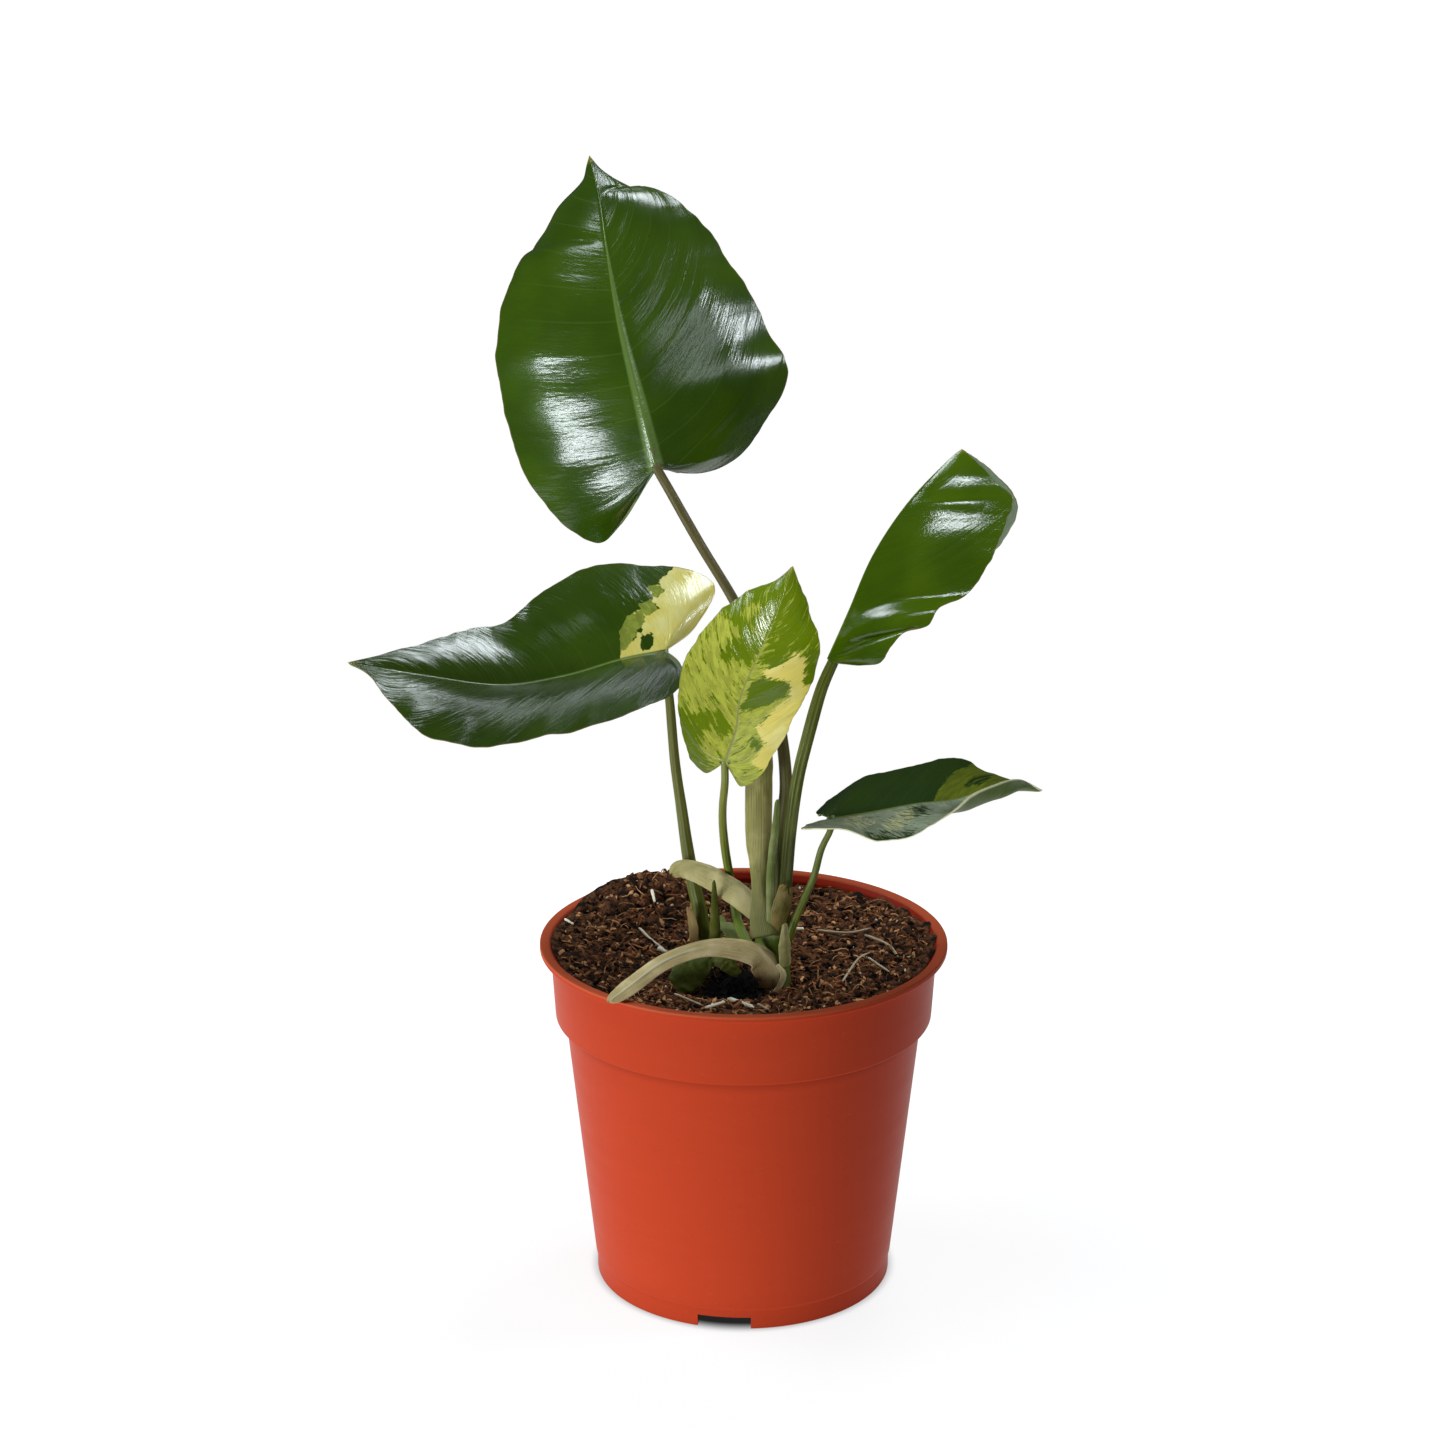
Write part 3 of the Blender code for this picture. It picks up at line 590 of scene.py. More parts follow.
def stem_look():
    """The main stem: pale cut ring at the node's top, dark green band, brown-green foot."""
    look = Look("stem_skin")
    stripes = lengthwise(look, 0.03, 4.0, 3.0)
    wander = look.plus(look.height(), look.times(stripes, 2.4))
    colour = look.mix(look.between(wander, 103.0, 108.0), (0.05, 0.06, 0.005), (0.08, 0.12, 0.004))
    colour = look.mix(look.between(wander, 114.0, 115.6), colour, (0.26, 0.30, 0.12))
    colour = look.mix(look.ranged(stripes, -0.2, 0.5), colour, (0.12, 0.19, 0.04))
    return look.done(colour, look.ranged(stripes, 0.5, 0.65), look.bump(stripes, 0.5, 0.3),
                     Specular_IOR_Level=0.2)


def sheath_look(name, tint, dry, veins=16.0, base=None, stained=(0.19, 0.08), keel=0.0):
    """A papery sheath: fine parallel veins, dark flecks, a drier edge and a stained base."""
    look = Look(name)
    across, along, travelled = look.given("strip")
    fine = look.noise(look.vector(look.times(across, 9.0), look.times(travelled, 0.05)), 2.2, 3.0, 0.6)
    flecks = look.noise(look.vector(look.times(across, 5.0), look.times(travelled, 0.35), 3.0), 1.6, 2.0)
    cloudy = look.noise(look.place(), 130.0, 3.0)
    lines = look.lines(across, 2.0 / veins, 0.03)
    colour = look.mix(look.between(fine, 0.3, 0.7), relit(tint, 0.6), tint)
    colour = look.mix(look.between(cloudy, 0.4, 0.75), colour, dry)
    colour = look.tinted(colour, relit(tint, 0.55), lines, 0.35)
    colour = look.tinted(colour, dry, look.between(look.maths("ABSOLUTE", across), 0.86, 1.0), 0.7)
    colour = look.tinted(colour, STAIN_BROWN, look.between(flecks, 0.70, 0.78), 0.75)
    if base:
        stain = look.plus(along, look.times(cloudy, 0.12))
        colour = look.tinted(colour, base, look.between(stain, *stained), 0.85)
    if keel:
        middle = look.between(look.maths("ABSOLUTE", look.plus(across, 0.1)), 0.12, 0.03)
        middle = look.times(middle, look.between(along, 0.45, 0.6))
        colour = look.tinted(colour, KEEL_GREY, middle, keel)
    height = look.minus(fine, look.times(lines, 0.6))
    return look.done(colour, look.ranged(fine, 0.42, 0.62), look.bump(height, 0.6, 0.25),
                     Specular_IOR_Level=0.25)


def pot_look(name, tint, wear_and_sheen, scuffed):
    """Moulded plastic: an even skin with faint flow marks, scuffs, a painted highlight on the lip's top and
    painted shade below the collar.
    """
    look = Look(name)
    place = look.place()
    x, y, z = look.apart(place)
    height = look.height()
    flow = look.noise(look.vector(x, y, look.times(z, 6.0)), 45.0, 3.0)
    scuffs = look.noise(look.vector(look.times(x, 0.5), y, look.times(z, 1.6)), 260.0, 5.0, 0.7)
    worn = look.times(look.between(scuffs, 0.62, 0.72), scuffed)
    colour = look.mix(look.ranged(flow, 0.0, 0.45), tint, relit(tint, 0.84))
    colour = look.mix(worn, colour, wear_and_sheen)
    colour = look.tinted(colour, DIRT_BROWN, look.between(look.cells(place, 420.0), 0.16, 0.09), scuffed)
    # Painted shade: the body just under the collar is darkened as if in the collar's shadow.
    painted_collar_shade = look.times(look.between(height, COLLAR_BOTTOM - 4.5, COLLAR_BOTTOM - 0.6),
                              look.between(height, COLLAR_BOTTOM - 0.1, COLLAR_BOTTOM - 0.4))
    colour = look.tinted(colour, relit(tint, 0.45), painted_collar_shade, 0.5)
    # Painted highlight: the lip's top band is lightened as if it catches the light.
    colour = look.tinted(colour, wear_and_sheen, look.between(height, POT_HEIGHT - 0.75, POT_HEIGHT - 0.3), 0.6)
    skin = look.noise(place, 1400.0, 2.0)
    rings = look.noise(look.vector(0.0, 0.0, z), 900.0, 2.0)
    relief = look.plus(look.times(skin, 0.5), look.times(rings, 0.3))
    roughness = look.plus(look.ranged(flow, 0.36, 0.46), look.times(worn, 0.2))
    return look.done(colour, roughness, look.bump(relief, 0.12, 0.12), Specular_IOR_Level=0.035)


def soil_look(name, dark, middle, light):
    """Damp potting soil: each crumb or fibre has its own brown, kept as its tint, and painted shade turns
    it black in the cavity.
    """
    look = Look(name)
    tint, shade = look.given("tint")[:2]
    fine = look.noise(look.place(), 1500.0, 3.0, 0.7)
    value = look.plus(tint, look.ranged(fine, -0.25, 0.25))
    colour = look.mix(look.between(value, 0.15, 0.62), dark, middle)
    colour = look.mix(look.between(value, 0.6, 1.0), colour, light)
    # Painted shade: black in the cavity below the arched sheath.
    colour = look.mix(shade, colour, SOIL_SHADE_BLACK)
    return look.done(colour, look.ranged(fine, 0.65, 0.95), look.bump(fine, 0.7, 0.3),
                     Specular_IOR_Level=0.08)


def straw_look(name, pale, brown):
    """Bleached straw and perlite, mottled, each as brown as its tint says."""
    look = Look(name)
    streaks = look.noise(look.place(), 900.0, 3.0)
    colour = look.mix(look.given("tint")[0], pale, brown)
    colour = look.mix(look.ranged(streaks, -0.2, 0.6), colour, relit(pale, 0.45))
    return look.done(colour, look.ranged(streaks, 0.5, 0.75), look.bump(streaks, 0.5, 0.2))


def floor_look():
    """Matt studio floor that glows white, so that only faint shadows show on it, with a dark shadow painted
    round and under the pot's foot.
    """
    look = Look("studio_floor")
    mottle = look.noise(look.place(), 3.0)
    colour = look.mix(mottle, (0.19, 0.19, 0.19), (0.21, 0.21, 0.21))
    x, y = look.apart(look.place())[:2]
    offset = look.vector(look.minus(x, float(AXIS[0])), look.minus(y, float(AXIS[1])))
    far = look.add("VectorMath", {"operation": "LENGTH"}, Vector=offset).outputs["Value"]
    glow = look.plus(look.times(look.between(far, 0.10, FLOOR_RADIUS), 0.2), 0.84)
    # Painted shadow: the glow and the colour drop to near black round and under the pot's foot.
    clear_of_painted_shadow = look.between(far, 0.9 * FOOT_RADIUS * MM, 1.07 * FOOT_RADIUS * MM)
    glow = look.times(glow, look.maths("MAXIMUM", clear_of_painted_shadow, 0.02))
    colour = look.mix(clear_of_painted_shadow, (0.02, 0.015, 0.012), colour)
    return look.done(colour, 0.8, Emission_Color=(1.0, 1.0, 1.0), Emission_Strength=glow,
                     Specular_IOR_Level=0.0)


def rounded(corners, reach):
    """Return an open line with each corner replaced by a short curve."""
    corners = [np.array(corner, float) for corner in corners]
    line = [corners[0]]
    for before, corner, after in zip(corners, corners[1:], corners[2:]):
        size = min(reach, 0.45 * np.linalg.norm(before - corner), 0.45 * np.linalg.norm(after - corner))
        start = corner + unit(before - corner) * size
        end = corner + unit(after - corner) * size
        for step in np.linspace(0, 1, 5):
            line.append((1 - step) ** 2 * start + 2 * step * (1 - step) * corner + step**2 * end)
    return line + [corners[-1]]


def turned(profile, segments):
    """Return the points of a profile of radius and height turned about the pot's axis."""
    radius, height = np.array(profile, float).T[..., None]
    angles = around(segments)
    return joined(radius * np.cos(angles), radius * np.sin(angles), height)


def wall_inside(height):
    """Return the radius of the pot's inner wall at a height; it flares out at the lip."""
    knots = (
        (FLOOR_TOP, FOOT_RADIUS - WALL),
        (STEP_BOTTOM, BODY_RADIUS - WALL),
        (STEP_TOP, COLLAR_BOTTOM_RADIUS - WALL),
        (FLARE_BOTTOM, COLLAR_TOP_RADIUS - WALL),
        (POT_HEIGHT, LIP_INSIDE_RADIUS),
    )
    return np.interp(height, *zip(*knots))


def pot_cutter():
    """Make the foot notches and the drain holes as one shape to cut with."""
    shape = bmesh.new()
    centre = Matrix.Translation(Vector(AXIS))
    size = Matrix.Diagonal((*(Vector(NOTCH_SIZE) * MM), 1.0))
    for degrees in NOTCH_ANGLES:
        spin = Matrix.Rotation(math.radians(degrees), 4, "Z")
        out = Matrix.Translation((FOOT_RADIUS * MM, 0, 0))
        bmesh.ops.create_cube(shape, size=1.0, matrix=centre @ spin @ out @ size)
    spots = [(0.0, 0.0)]
    for index in range(DRAIN_COUNT):
        angle = 2 * math.pi * index / DRAIN_COUNT
        spots.append((DRAIN_RING_RADIUS * math.cos(angle), DRAIN_RING_RADIUS * math.sin(angle)))
    for x, y in spots:
        spot = centre @ Matrix.Translation(Vector((x, y, FLOOR_TOP)) * MM)
        bmesh.ops.create_cone(
            shape, cap_ends=True, segments=DRAIN_SEGMENTS, matrix=spot,
            radius1=DRAIN_RADIUS * MM, radius2=DRAIN_RADIUS * MM, depth=FLOOR_TOP * MM,
        )
    return put_shape("pot_cutter", shape)


def make_pot():
    """Turn the pot with rounded edges, then cut its notches and holes."""
    lip_bottom = POT_HEIGHT - LIP_THICKNESS
    lining = [(0.0, FLOOR_TOP)]
    lining += [(wall_inside(z), z) for z in (FLOOR_TOP, STEP_BOTTOM, STEP_TOP, FLARE_BOTTOM)]
    lining += [(LIP_INSIDE_RADIUS, POT_HEIGHT), (LIP_RADIUS, POT_HEIGHT), (LIP_RADIUS, lip_bottom)]
    outside = [
        (LIP_RADIUS, lip_bottom),
        (COLLAR_TOP_RADIUS, lip_bottom - LIP_SLOPE),
        (COLLAR_BOTTOM_RADIUS, COLLAR_BOTTOM),
        (BODY_RADIUS, COLLAR_BOTTOM - STEP_SLOPE),
        (FOOT_RADIUS + FOOT_SEAM, FOOT_HEIGHT + FOOT_SEAM),
        (FOOT_RADIUS, FOOT_HEIGHT),
        (FOOT_RADIUS, 0.0),
        (FOOT_RADIUS - FOOT_RING_WIDTH, 0.0),
        (FOOT_RADIUS - FOOT_RING_WIDTH, FLOOR_UNDERSIDE),
        (0.0, FLOOR_UNDERSIDE),
    ]
    line = rounded(lining[:-1] + outside, EDGE_ROUNDING)
    heights = [point[1] for point in line]
    crest = heights.index(max(heights))
    shape = Shape()
    for slot, part in enumerate((line[:crest + 1], line[crest:])):
        points = turned(part, POT_SEGMENTS)
        shape.add(points, grid_faces(len(part), POT_SEGMENTS, flip=True, ring=True), slot=slot)
    inner_skin = pot_look("pot_lining", POT_INSIDE_RED, POT_WORN_AND_SHEEN_RED, 0.8)
    materials = (inner_skin, pot_look("pot_skin", POT_RED, POT_WORN_AND_SHEEN_RED, 0.12))
    pot = shape.build("pot_shell", materials, ["pot"], weld=True)
    cutter = pot_cutter()
    boolean = pot.modifiers.new("holes", "BOOLEAN")
    boolean.operation = "DIFFERENCE"
    boolean.solver = "EXACT"
    boolean.object = cutter
    graph = bpy.context.evaluated_depsgraph_get()
    whole = bpy.data.meshes.new_from_object(pot.evaluated_get(graph))
    pot.modifiers.clear()
    pot.data = whole
    bpy.data.objects.remove(cutter, do_unlink=True)
    whole.shade_smooth()
    whole.set_sharp_from_angle(angle=math.radians(POT_CREASE))


def hill(x, y, centre, spread):
    """Return a rounded hill of height one at its centre."""
    return np.exp(-(((x - centre[0]) / spread[0]) ** 2) - ((y - centre[1]) / spread[1]) ** 2)


def soil_height(x, y):
    """Return the soil's height: higher at the sides, a mound at the back left, a hollow."""
    radius = wall_inside(SOIL_LEVEL)
    height = SOIL_LEVEL + SOIL_SIDE_RISE * (x / radius) ** 2 + SOIL_BACK_RISE * y / radius
    height = height + MOUND_HEIGHT * hill(x, y, MOUND_CENTRE, MOUND_SPREAD)
    height = height - HOLLOW_DEPTH * hill(x, y, HOLLOW_CENTRE, HOLLOW_SPREAD)
    return height + CRUMB_HEIGHT * grain(joined(x, y, 0.0), CRUMB_SIZE)


def soil_relief(x, y):
    """Return how far the crumbly surface stands above the plain one."""
    spots = joined(x, y, 0.0)
    lumps = 1.3 * domes(spots, 2.6, 5.0) + 0.7 * domes(spots, 1.2, 9.0) + 0.4 * grain(spots, 0.6, 2.0)
    return lumps - 1.1


def soil_surface(x, y):
    """Return the height of the crumbly surface."""
    return soil_height(x, y) + soil_relief(x, y)


def soil_shade(x, y):
    """Return how much painted shade the soil has: it is painted black in the cavity below the arched
    sheath, where shade falls.
    """
    return step_up(hill(x, y, SHADE_CENTRE, SHADE_SPREAD), 0.25, 0.75)


def make_soil(brown):
    """Make the soil's fine surface and its hidden sides and bottom."""
    angles = around(SOIL_SEGMENTS)
    cosine, sine = np.cos(angles), np.sin(angles)
    edge = np.full(SOIL_SEGMENTS, wall_inside(SOIL_LEVEL))
    for _ in range(EDGE_TRIES):
        edge = wall_inside(soil_height(edge * cosine, edge * sine) - SOIL_BRINK / 2) - EDGE_GAP
    shares = np.linspace(0, 1, SOIL_RINGS)[:, None]
    x, y = shares * edge * cosine, shares * edge * sine
    relief = soil_relief(x, y)
    surface = joined(x, y, soil_height(x, y) + relief * step_up(1 - shares, 0, 0.02))
    # Painted shade: the bed's brown is darker in the gaps between its lumps and lighter on their tops.
    tint = joined(0.04 + 0.34 * step_up(relief, -0.6, 0.8), soil_shade(x, y), 0.0)
    lower = []
    levels = (SOIL_LEVEL - 4, STEP_TOP, STEP_BOTTOM, FLOOR_TOP + SIDE_GAP, FLOOR_TOP + SIDE_GAP)
    for level, share in zip(levels, (1, 1, 1, 1, 0)):
        radius = (wall_inside(level) - SIDE_GAP) * share
        lower.append(joined(radius * cosine, radius * sine, level))
    points = np.concatenate([surface, lower])
    tint = np.concatenate([tint, np.zeros((len(lower), SOIL_SEGMENTS, 3))])
    shape = Shape()
    shape.add(points, grid_faces(len(points), SOIL_SEGMENTS, flip=True, ring=True), tint=tint)
    shape.build("soil_bed", [brown], ["soil"], weld=True)


def random_spots(dice, count, margin):
    """Return places spread evenly over the soil inside a margin, and its surface's height there."""
    radius = (wall_inside(SOIL_LEVEL) - margin) * np.sqrt(dice.random(count))
    angle = 2 * math.pi * dice.random(count)
    x, y = radius * np.cos(angle), radius * np.sin(angle)
    return x, y, soil_surface(x, y)


def lump_mesh():
    """Return the points and faces of a twenty-sided lump of radius one."""
    shape = bmesh.new()
    bmesh.ops.create_icosphere(shape, subdivisions=1, radius=1.0)
    points = np.array([vertex.co[:] for vertex in shape.verts])
    faces = np.array([[vertex.index for vertex in face.verts] for face in shape.faces])
    shape.free()
    return points, faces


def add_lumps(shape, dice, x, y, z, lengths, widths, tints):
    """Add rough lumps, each with its own length, width, turn and tint."""
    base, faces = lump_mesh()
    for place, length, width, tint in zip(joined(x, y, z), lengths, widths, tints):
        rough = base * dice.uniform(0.65, 1.15, (len(base), 1))
        sized = rough * (length / 2, width / 2, width / 2 * dice.uniform(0.5, 1.0))
        turn = Euler((dice.uniform(0, 6), dice.normal(0, 0.45), dice.uniform(0, 6.3))).to_matrix()
        shape.add(sized @ np.array(turn).T + place, faces, tint=tint)


def make_crumbs(brown):
    """Scatter chips of bark and coir over the soil."""
    dice = np.random.default_rng(CHIP_SEED)
    x, y, z = random_spots(dice, CHIPS, CHIP_MARGIN)
    lengths = dice.gamma(4.0, 0.42, CHIPS) + 0.7
    widths = np.minimum(lengths * dice.uniform(0.25, 0.75, CHIPS), THICKEST_CHIP)
    bright = dice.beta(1.2, 1.5, CHIPS)
    tints = joined(bright, soil_shade(x, y), dice.random(CHIPS))
    shape = Shape()
    add_lumps(shape, dice, x, y, z + CHIP_LIFT, lengths, widths, tints)
    shape.build("soil_crumbs", [brown], sharp=CHIP_CREASE)


def make_fibres(brown):
    """Scatter thin curved coir fibres over the soil."""
    dice = np.random.default_rng(FIBRE_SEED)
    x, y, _ = random_spots(dice, FIBRES, FIBRE_MARGIN)
    shape = Shape()
    steps = np.linspace(-0.5, 0.5, len(FIBRE_TAPER))
    for place in zip(x, y):
        heading = dice.uniform(0, 6.3)
        length = dice.uniform(3.0, 9.5)
        angles = heading + dice.normal(0, 0.6) * steps
        run = np.cumsum(joined(np.cos(angles), np.sin(angles)), axis=0) * length / len(steps)
        run += np.array(place) - run.mean(axis=0)
        far = np.linalg.norm(run, axis=1)
        run *= np.minimum(1, (wall_inside(SOIL_LEVEL) - FIBRE_END_MARGIN) / far)[:, None]
        ground = soil_surface(run[:, 0], run[:, 1])
        hump = dice.exponential(0.5) * np.sin(math.pi * (steps + 0.5))
        line = np.column_stack([run, ground.mean() * 0.5 + ground * 0.5 + hump + FIBRE_LIFT])
        radii = dice.uniform(0.08, 0.21) * np.array(FIBRE_TAPER)
        tint = (dice.beta(2.2, 1.6), soil_shade(*map(np.array, place)), dice.random())
        add_tube(shape, line, radii, FIBRE_SIDES, tint=tint)
    shape.build("soil_fibres", [brown])


# Sticks that lie on the soil: their ends and bends in X and Y, their radius, and how brown
# they are, from 0 to 1
STICKS = (
    (((-4.6, -31.0), (2.6, -42.5)), 0.75, 0.0),
    (((-31.1, 13.0), (-27.5, 5.5), (-23.2, -1.2)), 0.42, 0.5),
    (((-25.2, -1.0), (-22.4, -4.2)), 0.7, 0.0),
    (((-27.6, 28.4), (-26.6, 23.6)), 0.5, 0.0),
    (((36.1, 7.9), (42.5, -1.3), (45.0, -11.8)), 0.5, 0.9),
    (((14.6, 15.2), (18.1, 14.1)), 0.6, 0.0),
    (((28.2, -25.5), (33.4, -9.7), (37.1, -5.3)), 0.36, 0.8),
    (((36.1, -8.0), (41.9, -22.0)), 0.36, 0.6),
    (((-53.4, 14.4), (-50.6, 12.0)), 0.4, 0.0),
    (((3.7, -38.8), (7.2, -43.6)), 0.4, 0.8),
    (((-11.2, -42.3), (-5.5, -38.7)), 0.5, 0.3),
    (((22.0, 12.0), (31.0, 9.0), (38.0, 12.0)), 0.4, 0.9),
    (((-20.0, -33.0), (-12.0, -40.0)), 0.35, 0.7),
)


def make_litter():
    """Lay pale straws and perlite grits on the soil."""
    shape = Shape()
    taper = np.interp(np.arange(STICK_RINGS), (0, 1, STICK_RINGS - 2, STICK_RINGS - 1), (0.5, 1, 0.8, 0.3))
    for route, radius, brown in STICKS:
        line = smooth([(x, y, 0) for x, y in route], STICK_RINGS)
        ground = soil_height(line[:, 0], line[:, 1])
        line[:, 2] = np.linspace(ground[0], ground[-1], len(line)) + STICK_LIFT + radius / 2
        add_tube(shape, line, radius * taper, STICK_SIDES, tint=(brown, 0, 0))
    dice = np.random.default_rng(GRIT_SEED)
    x, y, z = random_spots(dice, GRITS, GRIT_MARGIN)
    lit = soil_shade(x, y) < 0.3
    sizes = dice.uniform(0.5, 1.5, GRITS)
    tints = joined(dice.uniform(0, 0.7, GRITS), 0.0, 0.0)
    add_lumps(shape, dice, x[lit], y[lit], z[lit] + GRIT_LIFT, sizes[lit], sizes[lit] * 0.8, tints[lit])
    straws = straw_look("pale_straw", (0.95, 0.88, 0.68), (0.30, 0.19, 0.08))
    shape.build("soil_litter", [straws])


def make_ground():
    """Make the soil and what lies on it."""
    brown = soil_look("soil_brown", (0.010, 0.005, 0.003), (0.24, 0.089, 0.034), (0.66, 0.34, 0.155))
    make_soil(brown)
    make_crumbs(brown)
    make_fibres(brown)
    make_litter()


def add_tube(shape, line, radii, sides, ridges=0, depth=0.0, **stored):
    """Add a closed tube round a line, with ridges along it if asked."""
    ahead = unit(np.gradient(line, axis=0))
    angles = around(sides)
    cosine, sine = np.cos(angles), np.sin(angles)
    sideways = np.cross(ahead[0], (0.31, 0.27, 0.91))
    rings = []
    for place, direction, radius in zip(line, ahead, radii):
        sideways = unit(sideways - direction * sideways.dot(direction))
        reach = (radius * (1 + depth * np.cos(ridges * angles)))[:, None]
        other = np.cross(direction, sideways)
        rings.append(place + reach * np.outer(cosine, sideways) + reach * np.outer(sine, other))
    if not stored:
        stored = {"round": joined(cosine, sine, travel(line)[:, None])}
    last = (len(line) - 1) * sides
    caps = (range(sides)[::-1], range(last, last + sides))
    shape.add(rings, grid_faces(len(line), sides, ring=True), caps, **stored)


def make_stalk(name, node, route, radii, material, ridges=9, depth=0.05):
    """Make a ridged stalk whose thickness changes smoothly along its route."""
    line = smooth(route, STALK_RINGS)
    share = np.linspace(0, 1, STALK_RINGS)
    widths = smooth([(10 * index, radius) for index, radius in enumerate(radii)], STALK_RINGS)[:, 1]
    uneven = 1 + 0.03 * waver(share * 9, len(name))
    ends = round_off(np.minimum(share, 1 - share), 0.012) * 0.9 + 0.1
    shape = Shape()
    add_tube(shape, line, widths * uneven * ends, STALK_SIDES, ridges, depth)
    shape.build(name, [material], [node])


def leaf_turn(leaf):
    """Return the matrix that turns a leaf's own frame into the pot's."""
    roll = Matrix.Rotation(math.radians(leaf.get("roll", 0.0)), 3, "Y")
    return np.array(Euler([math.radians(angle) for angle in leaf["turn"]]).to_matrix() @ roll)


def under_rib(name):
    """Return three places along the underside of a leaf's rib, where its stalk runs in."""
    leaf = LEAVES[name]
    rib = smooth(leaf["rib"][:2], 41)
    reach = np.linalg.norm(rib - rib[0], axis=1)
    places = []
    for distance, sunk in ((0.3, 1.2), (3.5, 1.3), (7.0, 1.0)):
        place = rib[np.searchsorted(reach, distance)] - (0, 0, sunk)
        places.append(tuple(leaf_turn(leaf) @ place + leaf["place"]))
    return places


def make_stalks():
    """Make the five leaf stalks, each running into the rib below its blade."""
    make_stalk("stalk_top_ridged", "stalk_top", [
        (9.6, -13.2, 114.5), (10.8, -13, 144), (12, -12, 156), (11, -11, 169), (8.8, -9, 180),
        (3.5, -6, 196), (-3, -3, 209.5), (-12.5, 0, 225), (-21, 3.2, 239.6), *under_rib("leaf_top"),
    ], (1.9, 1.8, 1.5, 1.4, 1.3), stalk_look(
        "stalk_brown", (0.09, 0.10, 0.012), (0.115, 0.083, 0.02), (0.17, 0.13, 0.045), (20, 75)))
    make_stalk("stalk_left_ridged", "stalk_left", [
        (-11.6, 5, 100.3), (-12.8, 6, 111), (-14.8, 7.3, 119.5), (-16.6, 8.5, 130), (-18.3, 9.5, 142.5),
        (-20.2, 10, 157), (-21.5, 9.8, 174), (-22.3, 9, 182), *under_rib("leaf_left"),
    ], (2.3, 1.9, 1.5, 1.3, 1.1), stalk_look(
        "stalk_olive", (0.085, 0.11, 0.005), (0.135, 0.125, 0.014), (0.20, 0.20, 0.05), (6, 40)))
    make_stalk("stalk_centre_ridged", "stalk_centre", [
        (5, -16.2, 105.2), (1.6, -12, 107.5), (-1.4, -5, 111.5), (-2.7, -2.6, 117), (-4.6, -3.4, 128.7),
        (-5.5, -7.4, 136.4), (-6.1, -14, 145.6), (-6.1, -20, 153.8), (-5.5, -25, 162.5),
        *under_rib("leaf_centre"),
    ], (1.4, 1.3, 1.2, 1.1, 1.0), stalk_look(
        "stalk_yellow", (0.13, 0.20, 0.012), (0.19, 0.19, 0.03), (0.30, 0.31, 0.07), (15, 60)))
    make_stalk("stalk_right_ridged", "stalk_right", [
        (11.2, -18.2, 114.5), (12.1, -19, 131), (13.2, -19, 146), (15.2, -18, 161), (18.2, -17, 174),
        (21.7, -15, 186.5), *under_rib("leaf_right"),
    ], (1.8, 1.7, 1.7, 1.7, 1.4), stalk_look(
        "stalk_dark", (0.06, 0.07, 0.004), (0.09, 0.11, 0.005), (0.15, 0.17, 0.03)), ridges=7, depth=0.09)
    make_stalk("stalk_low_ridged", "stalk_low", [
        (12.6, -21, 112.0), (14.5, -20.8, 118.5), (17.2, -20.2, 125), (20, -20, 132), (22, -20, 140),
        (24.2, -20, 145), *under_rib("leaf_low"),
    ], (1.2, 1.1, 1.0, 0.9, 0.8), stalk_look(
        "stalk_green", (0.09, 0.11, 0.003), (0.10, 0.12, 0.004), (0.16, 0.19, 0.02)))


def make_shoots():
    """Make the main stem with its swollen node, and the short side shoot."""
    skin = stem_look()
    make_stalk("stem_main_skin", "stem_main", [
        (11, -21, 76), (11, -21, 88), (11, -21, 98), (10.2, -19.6, 104.5), (8.4, -17.4, 111),
        (8.2, -17, 116.3),
    ], (2.7, 2.7, 2.7, 2.7, 2.7, 3.0, 5.0, 4.7), skin, ridges=5, depth=0.03)
    make_stalk("stem_side_skin", "stem_side", [
        (-12, 5, 80), (-12, 5, 92), (-11.5, 5, 103.5),
    ], (3.2, 3.2, 3.0), skin, ridges=5, depth=0.03)


